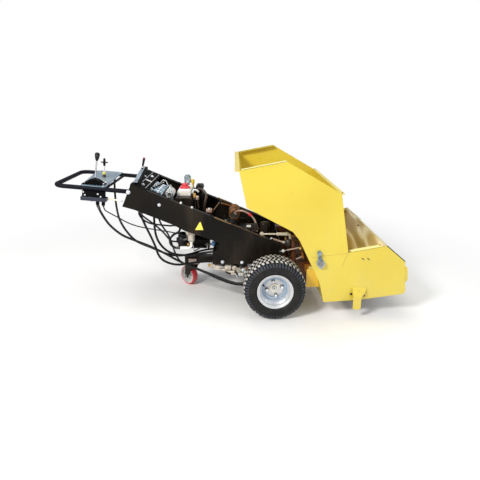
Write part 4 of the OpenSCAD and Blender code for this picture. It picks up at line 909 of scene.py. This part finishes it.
def dress_hose_ends():
    """Crimped sleeves and nuts where hoses meet what they come out of."""
    form = Form("hose_ends", "bolt_dark", smooth=50)
    for name, node, diameter, points in CORDS:
        for at, beyond in ((points[0], points[1]), (points[-1], points[-2])):
            along = place(*beyond) - place(*at)
            r = diameter / 2
            form.turn(at, along, [(r + 3.4, 0.4), (r + 3.4, 7), (r + 2.6, 8)], 6)
            if diameter > 10:
                form.turn(at, along, [(r + 1.0, 7.5), (r + 1.8, 9), (r + 1.8, 16), (r + 1.1, 17),
                                      (r + 1.8, 18), (r + 1.8, 27), (r + 0.9, 29)], 20)
    form.done()


dress_hose_ends()

# Engine: bolts and fan slots, spark plug, exhaust, coil box, carburettor, rods and ball joint
FAN = place(-232, 167.2, 408)


def fan_slot(away):
    wide = away.cross(Y)
    return [FAN + away * 0.026 - wide * 0.0014, FAN + away * 0.064 - wide * 0.0024,
            FAN + away * 0.064 + wide * 0.0024, FAN + away * 0.026 + wide * 0.0014]


piece("engine_bolts", "bolt_dark",
      bolt=[(place(-232, -145.8, 408) + away * 0.048, -Y, 6, 1.4, "zinc_steel") for away in ring_of(6, 0.3)]
      + [((x, y, 322.5), Z, 10, 2.2) for x in (-330, -150) for y in (-122, 122)],
      slab=[(fan_slot(away), (0, 7.5, 0), "worn_steel") for away in ring_of(24)])
piece("spark_plug", "white_plastic", "white_plastic", smooth=50, turns=[(
    place(-278, 0, 442) + leaning(-20) * 0.080 - leaning(70) * 0.018, leaning(-20),
    ([(9, -0.3), (9, 6), (7, 7)], 6, "zinc_steel"), ([(5.4, 6), (5.4, 20), (4.2, 22), (4.2, 26)], 16),
    ([(7, 22), (8, 25), (8, 46), (5, 50)], 16, "black_plastic"))])
piece("exhaust_pipe", "pale_pipe", "hot_steel", smooth=60,
      tube=[(((-252, -77, 600), (-246, -104, 618), (-229, -128, 630), (-200, -142, 632),
              (-172, -148, 622), (-146, -152, 604), (-122, -154, 576), (-108, -156, 545),
              (-98, -158, 518), (-90, -160, 497)), 7, 14, None, 36)],
      turn=[((-252, -76, 600), -Y, [(13, 0), (13, 4), (9, 8), (9, 14)]),
            ((-150, -151.5, 607), (0.8, -0.1, -0.6), [(8.5, -14), (9.5, -12), (9.5, 12), (8.5, 14)], 20,
             "red_plastic"),
            ((-261, -78, 588), -Y, [(36, -6), (36, 1), (33, 2), (30, 2), (29, -1)], 48, "hot_steel"),
            ((-261, -78.2, 588), -Y, [(29, 0), (29, 0.4), (10, 0.8)], 48, "bolt_dark")]
      + [((-261, y, 588), Y, [(39.6, -3), (41.6, -1.5), (41.6, 1.5), (39.6, 3)], 64, "gold_dust", True)
         for y in (-62, -8, 40, 82)])
piece("coil_box", "engine_iron", "grey_plastic", soften=2.0,
      block=(((-176, -206, 493), (-96, -168, 549)),
             ((-180, -210, 500), (-92, -164, 506)),
             ((-176, -207.4, 531), (-146, -206, 547), "white_plastic"),
             ((-148, -190, 440), (-124, -178, 495), "bolt_dark"),
             ((-148, -190, 436), (-124, -111, 446), "bolt_dark")),
      bolt=[((x, -206.2, 502), -Y, 5, 1.2, "zinc_steel") for x in (-170, -102)])
piece("carburettor", "cream_paint", "white_plastic", smooth=50, soften=1.5,
      block=(((-460, -180, 632), (-420, -128, 650), "pale_pipe"),
             ((-446, -158, 483), (-434, -146, 624), "bolt_dark")),
      turn=(((-440, -152, 648), Z, [(13, 0), (13, 6), (10, 9)], 24, "zinc_steel"),
            ((-440, -128.5, 636), Y, [(11, 0), (11, 24), (9, 26)], 20, "pump_alloy"),
            ((-440, -152, 483.5), Z, [(16, 0), (16, 5), (9, 8)], 20, "zinc_steel")))
piece("control_rods", "zinc_steel", smooth=50,
      tube=((((-430, -126, 606), (-398, -112, 648), (-365, -100, 690)), 3.5, 10, "rust_brown"),
            (((-352, -96, 678), (-300, -90, 662), (-251, -84, 647)), 4.5, 10, "hot_steel"),
            (((-351, -96, 678), (-358, -98, 686)), 3.5),
            (((-251, -84, 647), (-247, -80, 640)), 5),
            (((-555, -210, 402), (-552, -210, 380), (-550, -210, 357)), 4),
            (((-549, -210, 357), (-520, -150, 352), (-500, -100, 360)), 4),
            (((-1, -262, 465), (76, -262, 439)), 6, 12, "pale_pipe")),
      turn=(((-365, -100, 690), (0.6, 0.2, 0.7), [(6, -4), (8, 0), (8, 8), (5, 12)], 16, "black_plastic"),
            ((76, -262, 439), (1, 0, -0.34), [(9, -3), (9, 12), (6, 15)], 6, "bolt_bright")))
piece("ball_joint", "brass", smooth=60,
      turn=[((180, -300, 404), X, [(4, 0), (11, 4), (14.5, 12), (11, 20), (4, 24)], 28)],
      tube=((((101, -296, 392), (140, -298, 400), (182, -300, 411)), 5, 12, "pale_pipe"),
            (((101, -296, 392), (48, -302, 384)), 5, 12, "zinc_steel")),
      dome=[((75, -300, 388), -Y, 12, 12, "bolt_bright")])

# Tanks: blank labels, the fittings between them and the gear pump's details
piece("tank_labels", "cream_paint", "white_plastic", block=(
    ((-671, -60, 742), (-668.6, 50, 760)), ((-655, -112.7, 745), (-590, -112.2, 760))))
piece("tank_fittings", "rust_brown", smooth=50, soften=1.0,
      tube=((((-566, -62, 742), (-552, -66, 772), (-534, -62, 768), (-520, -56, 752)), 7, 12,
             "bolt_bright"),
            (((-548, -70, 702), (-546, -78, 660), (-538, -90, 620), (-540, -96, 570)), 7, 12,
             "hose_brown"),
            (((-526, -92, 706), (-522, -98, 660), (-524, -104, 600), (-530, -108, 560)), 6, 12,
             "hose_brown")),
      turn=(((-548, -70, 716), Z, [(14, 0), (14, 14), (10, 18), (10, 28), (7, 30)], 6, "gold_dust"),
            ((-548, -70, 700), Z, [(9, 0), (9, 16)], 20, "rust_brown"),
            ((-526, -92, 704), Z, [(8, 0), (11, 3), (11, 24), (6, 27)], 16, "pale_pipe")),
      block=[((-561.7, -88, 700), (-540, -50, 708), "bolt_dark")])
piece("pump_details", "zinc_steel",
      bolt=[(place(-706, -194, 770) + away * 0.020, -Y, 4, 0.8) for away in ring_of(8, 0.2)],
      turn=(((-706, -211.8, 770), -Y, [(12, 0), (12, 1.4), (5, 1.4), (4.4, 0.6)], 24, "bolt_dark"),
            ((-706, -144, 809.5), Z, [(9, 0), (9, 6), (7, 8), (7, 14)], 6)))

# Under the frame: fittings, lift cylinder, drive, the cooler's shroud and the castor's plates
piece("under_fittings", "brass", smooth=50,
      turn=(((-583, -245, 420), X, [(9, -8), (9, 6), (7, 8)], 6),
            ((-562, -245, 447), -Z, [(12, 0), (12, 4), (8, 6)], 6),
            ((-410, -210, 412), X, [(15, -12), (17, -8), (17, 8), (11, 14)], 24, "blue_cap"),
            ((-453, -210, 417), -Z, [(7, 0), (7, 3), (4.5, 5), (4.5, 42)], 6, "zinc_steel")),
      block=[((-470, -222, 405), (-407, -198, 411), "bolt_dark")])
# The lift cylinder is black: its brown is a painted reflection of the yellow hopper.
piece("lift_cylinder", "arm_brown", "frame_black", smooth=50, soften=1.0,
      turn=(((150, -266, 292), (-0.02, 0, 1),
             [(15, 0), (17, 3), (17, 150), (14, 156), (7, 158), (7, 176)], 32),
            ((112, -266, 408), Z, [(13, 0), (20, 6), (22, 40), (16, 52)], 32, "bolt_dark")),
      tube=((((112, -266, 412), (110, -266, 372), (126, -264, 330)), 8, 12, "bolt_dark"),
            # Orange and gold bars: painted reflections of the yellow hopper on black bars.
            (((186, -262, 470), (206, -262, 400), (222, -262, 318)), 8, 12, "orange_arm"),
            (((96, -250, 470), (96, -250, 415)), 6, 12, "gold_dust"),
            (((128, -258, 478), (175, -262, 484), (206, -262, 470)), 7, 12, "orange_arm"),
            (((150, -268, 310), (196, -264, 322), (214, -258, 330)), 5, 12, "pale_pipe")),
      # Orange block: the yellow rear wall's painted shade.
      block=(((236, -264, 216), (290, -241, 266), "orange_arm"),
             # Brown block: a dark sheet standing in for shade in the gap by the tyre.
             ((150, -240, 128), (284, -232, 300), "arm_brown"),
             # Thin pale yellow slab: a painted highlight along the gusset's top edge.
             ((240, -410, 302.2), (270, -380, 305), "sunlit_yellow"),
             ((186, -258, 302), (232, -240.2, 336), "bolt_dark")))
DRIVE_ALONG = (1, 0, -0.09)
piece("drive_fittings", "cast_cream", "pump_alloy", smooth=50, soften=1.0,
      turn=[((-432, -262, 268), DRIVE_ALONG, [(9, 0), (17, 3), (17, 80), (10, 84), (10, 92)]),
            ((-350, -262, 262), DRIVE_ALONG, [(8, 0), (15, 2), (15, 20), (10, 22)], 6, "zinc_steel"),
            ((-330, -262, 261), DRIVE_ALONG, [(14, 0), (25, 3), (25, 42), (14, 46)]),
            ((-438, -262, 269), DRIVE_ALONG, [(9, -12), (12, -10), (12, 4), (9, 6)], 6, "brass")]
      + [((x, -286, z), Y,
          [(r * 0.5, -5), (r * 0.55, 0), (r, 0), (r, 14), (r * 0.8, 16), (r * 0.8, 44)], 6, look)
         for x, z, r, look in ((-262, 254, 19, "cast_cream"), (-232, 238, 20, "cast_cream"),
                               (-214, 266, 12, "bolt_dark"), (-200, 240, 16, "bright_alloy"),
                               (-224, 210, 14, "bright_alloy"), (-178, 252, 14, "rust_brown"),
                               (-256, 226, 10, "bolt_dark"))]
      + [((x, -290, z), Y, [(r * 0.6, -6), (r, 0), (r, 20), (r * 0.8, 40)], 6, look)
         for x, z, r, look in ((-206, 206, 15, "cast_cream"), (-246, 196, 12, "zinc_steel"),
                               (-186, 224, 11, "bright_alloy"))],
      block=(((-268, -250, 204), (-170, -158, 268), "bolt_dark"),
             ((-286, -286, 204), (-250, -262, 234), "cast_cream")),
      tube=((((-404, -262, 244), (-340, -262, 236), (-284, -268, 220)), 8, 14),
            (((-178, -268, 246), (-110, -272, 232), (-44, -280, 222)), 9, 14)))
piece("cooler_shroud", "black_plastic", "black_plastic", smooth=50, turn=(
    ((-629, -58, 388), -X, [(52, -2), (61, 0), (63, 8), (63, 34), (54, 46), (22, 50), (20, 62),
                            (0.5, 62)], 48),
    ((-652, -58, 388), -X, [(63.2, -3), (65, -2), (65, 2), (63.2, 3)], 48, "bolt_dark", True)))
piece("castor_plates", "pink_plate", "worn_steel", soften=1.0, block=(
    ((-626, -44, 190.5), (-534, 44, 195.8)), ((-610, -46, 196.1), (-550, -38, 232)),
    ((-610, 38, 196.1), (-550, 46, 232))))
# Intake hose: black, with painted brown highlights.
make_cord("intake_hose", ((-541, 60, 744), (-520, 50, 752), (-492, 28, 744), (-470, 8, 712),
                          (-480, -4, 660), (-486, -12, 600), (-466, -16, 540), (-420, -18, 500),
                          (-350, -20, 480)),
          22, look="hose_brown", count=20)


def make_floor():
    """A pale floor that takes the shadow and turns white to the camera away from the object."""
    size = 60
    near, far = 1.2, 2.9
    mesh = bpy.data.meshes.new("floor")
    mesh.from_pydata([(-size, -size, 0), (size, -size, 0), (size, size, 0), (-size, size, 0)], [],
                     [(0, 1, 2, 3)])
    floor = bpy.data.objects.new("floor", mesh)
    scene.collection.objects.link(floor)
    s = Shader("pale_floor")
    tones = [(0.3, (0.86, 0.85, 0.84)), (0.7, (0.90, 0.89, 0.88))]
    s.set(Base_Color=s.ramp(s.noise(1.2, 6, 0.6), tones), Roughness=0.9, Specular_IOR_Level=0.1)
    reach = s.node("ShaderNodeVectorMath", {0: s.coords}, operation="LENGTH").outputs["Value"]
    away = s.node("ShaderNodeMapRange", {"Value": reach, "From Min": near, "From Max": far},
                  interpolation_type="SMOOTHSTEP").outputs[0]
    seen = s.math("MULTIPLY", away, s.node("ShaderNodeLightPath").outputs["Is Camera Ray"])
    glow = s.node("ShaderNodeEmission", {"Strength": 1.0}).outputs[0]
    blend = s.node("ShaderNodeMixShader", {"Fac": seen, 1: s.bsdf.outputs[0], 2: glow})
    feed(s.tree, s.out.inputs["Surface"], blend.outputs[0])
    mesh.materials.append(s.material)


make_floor()
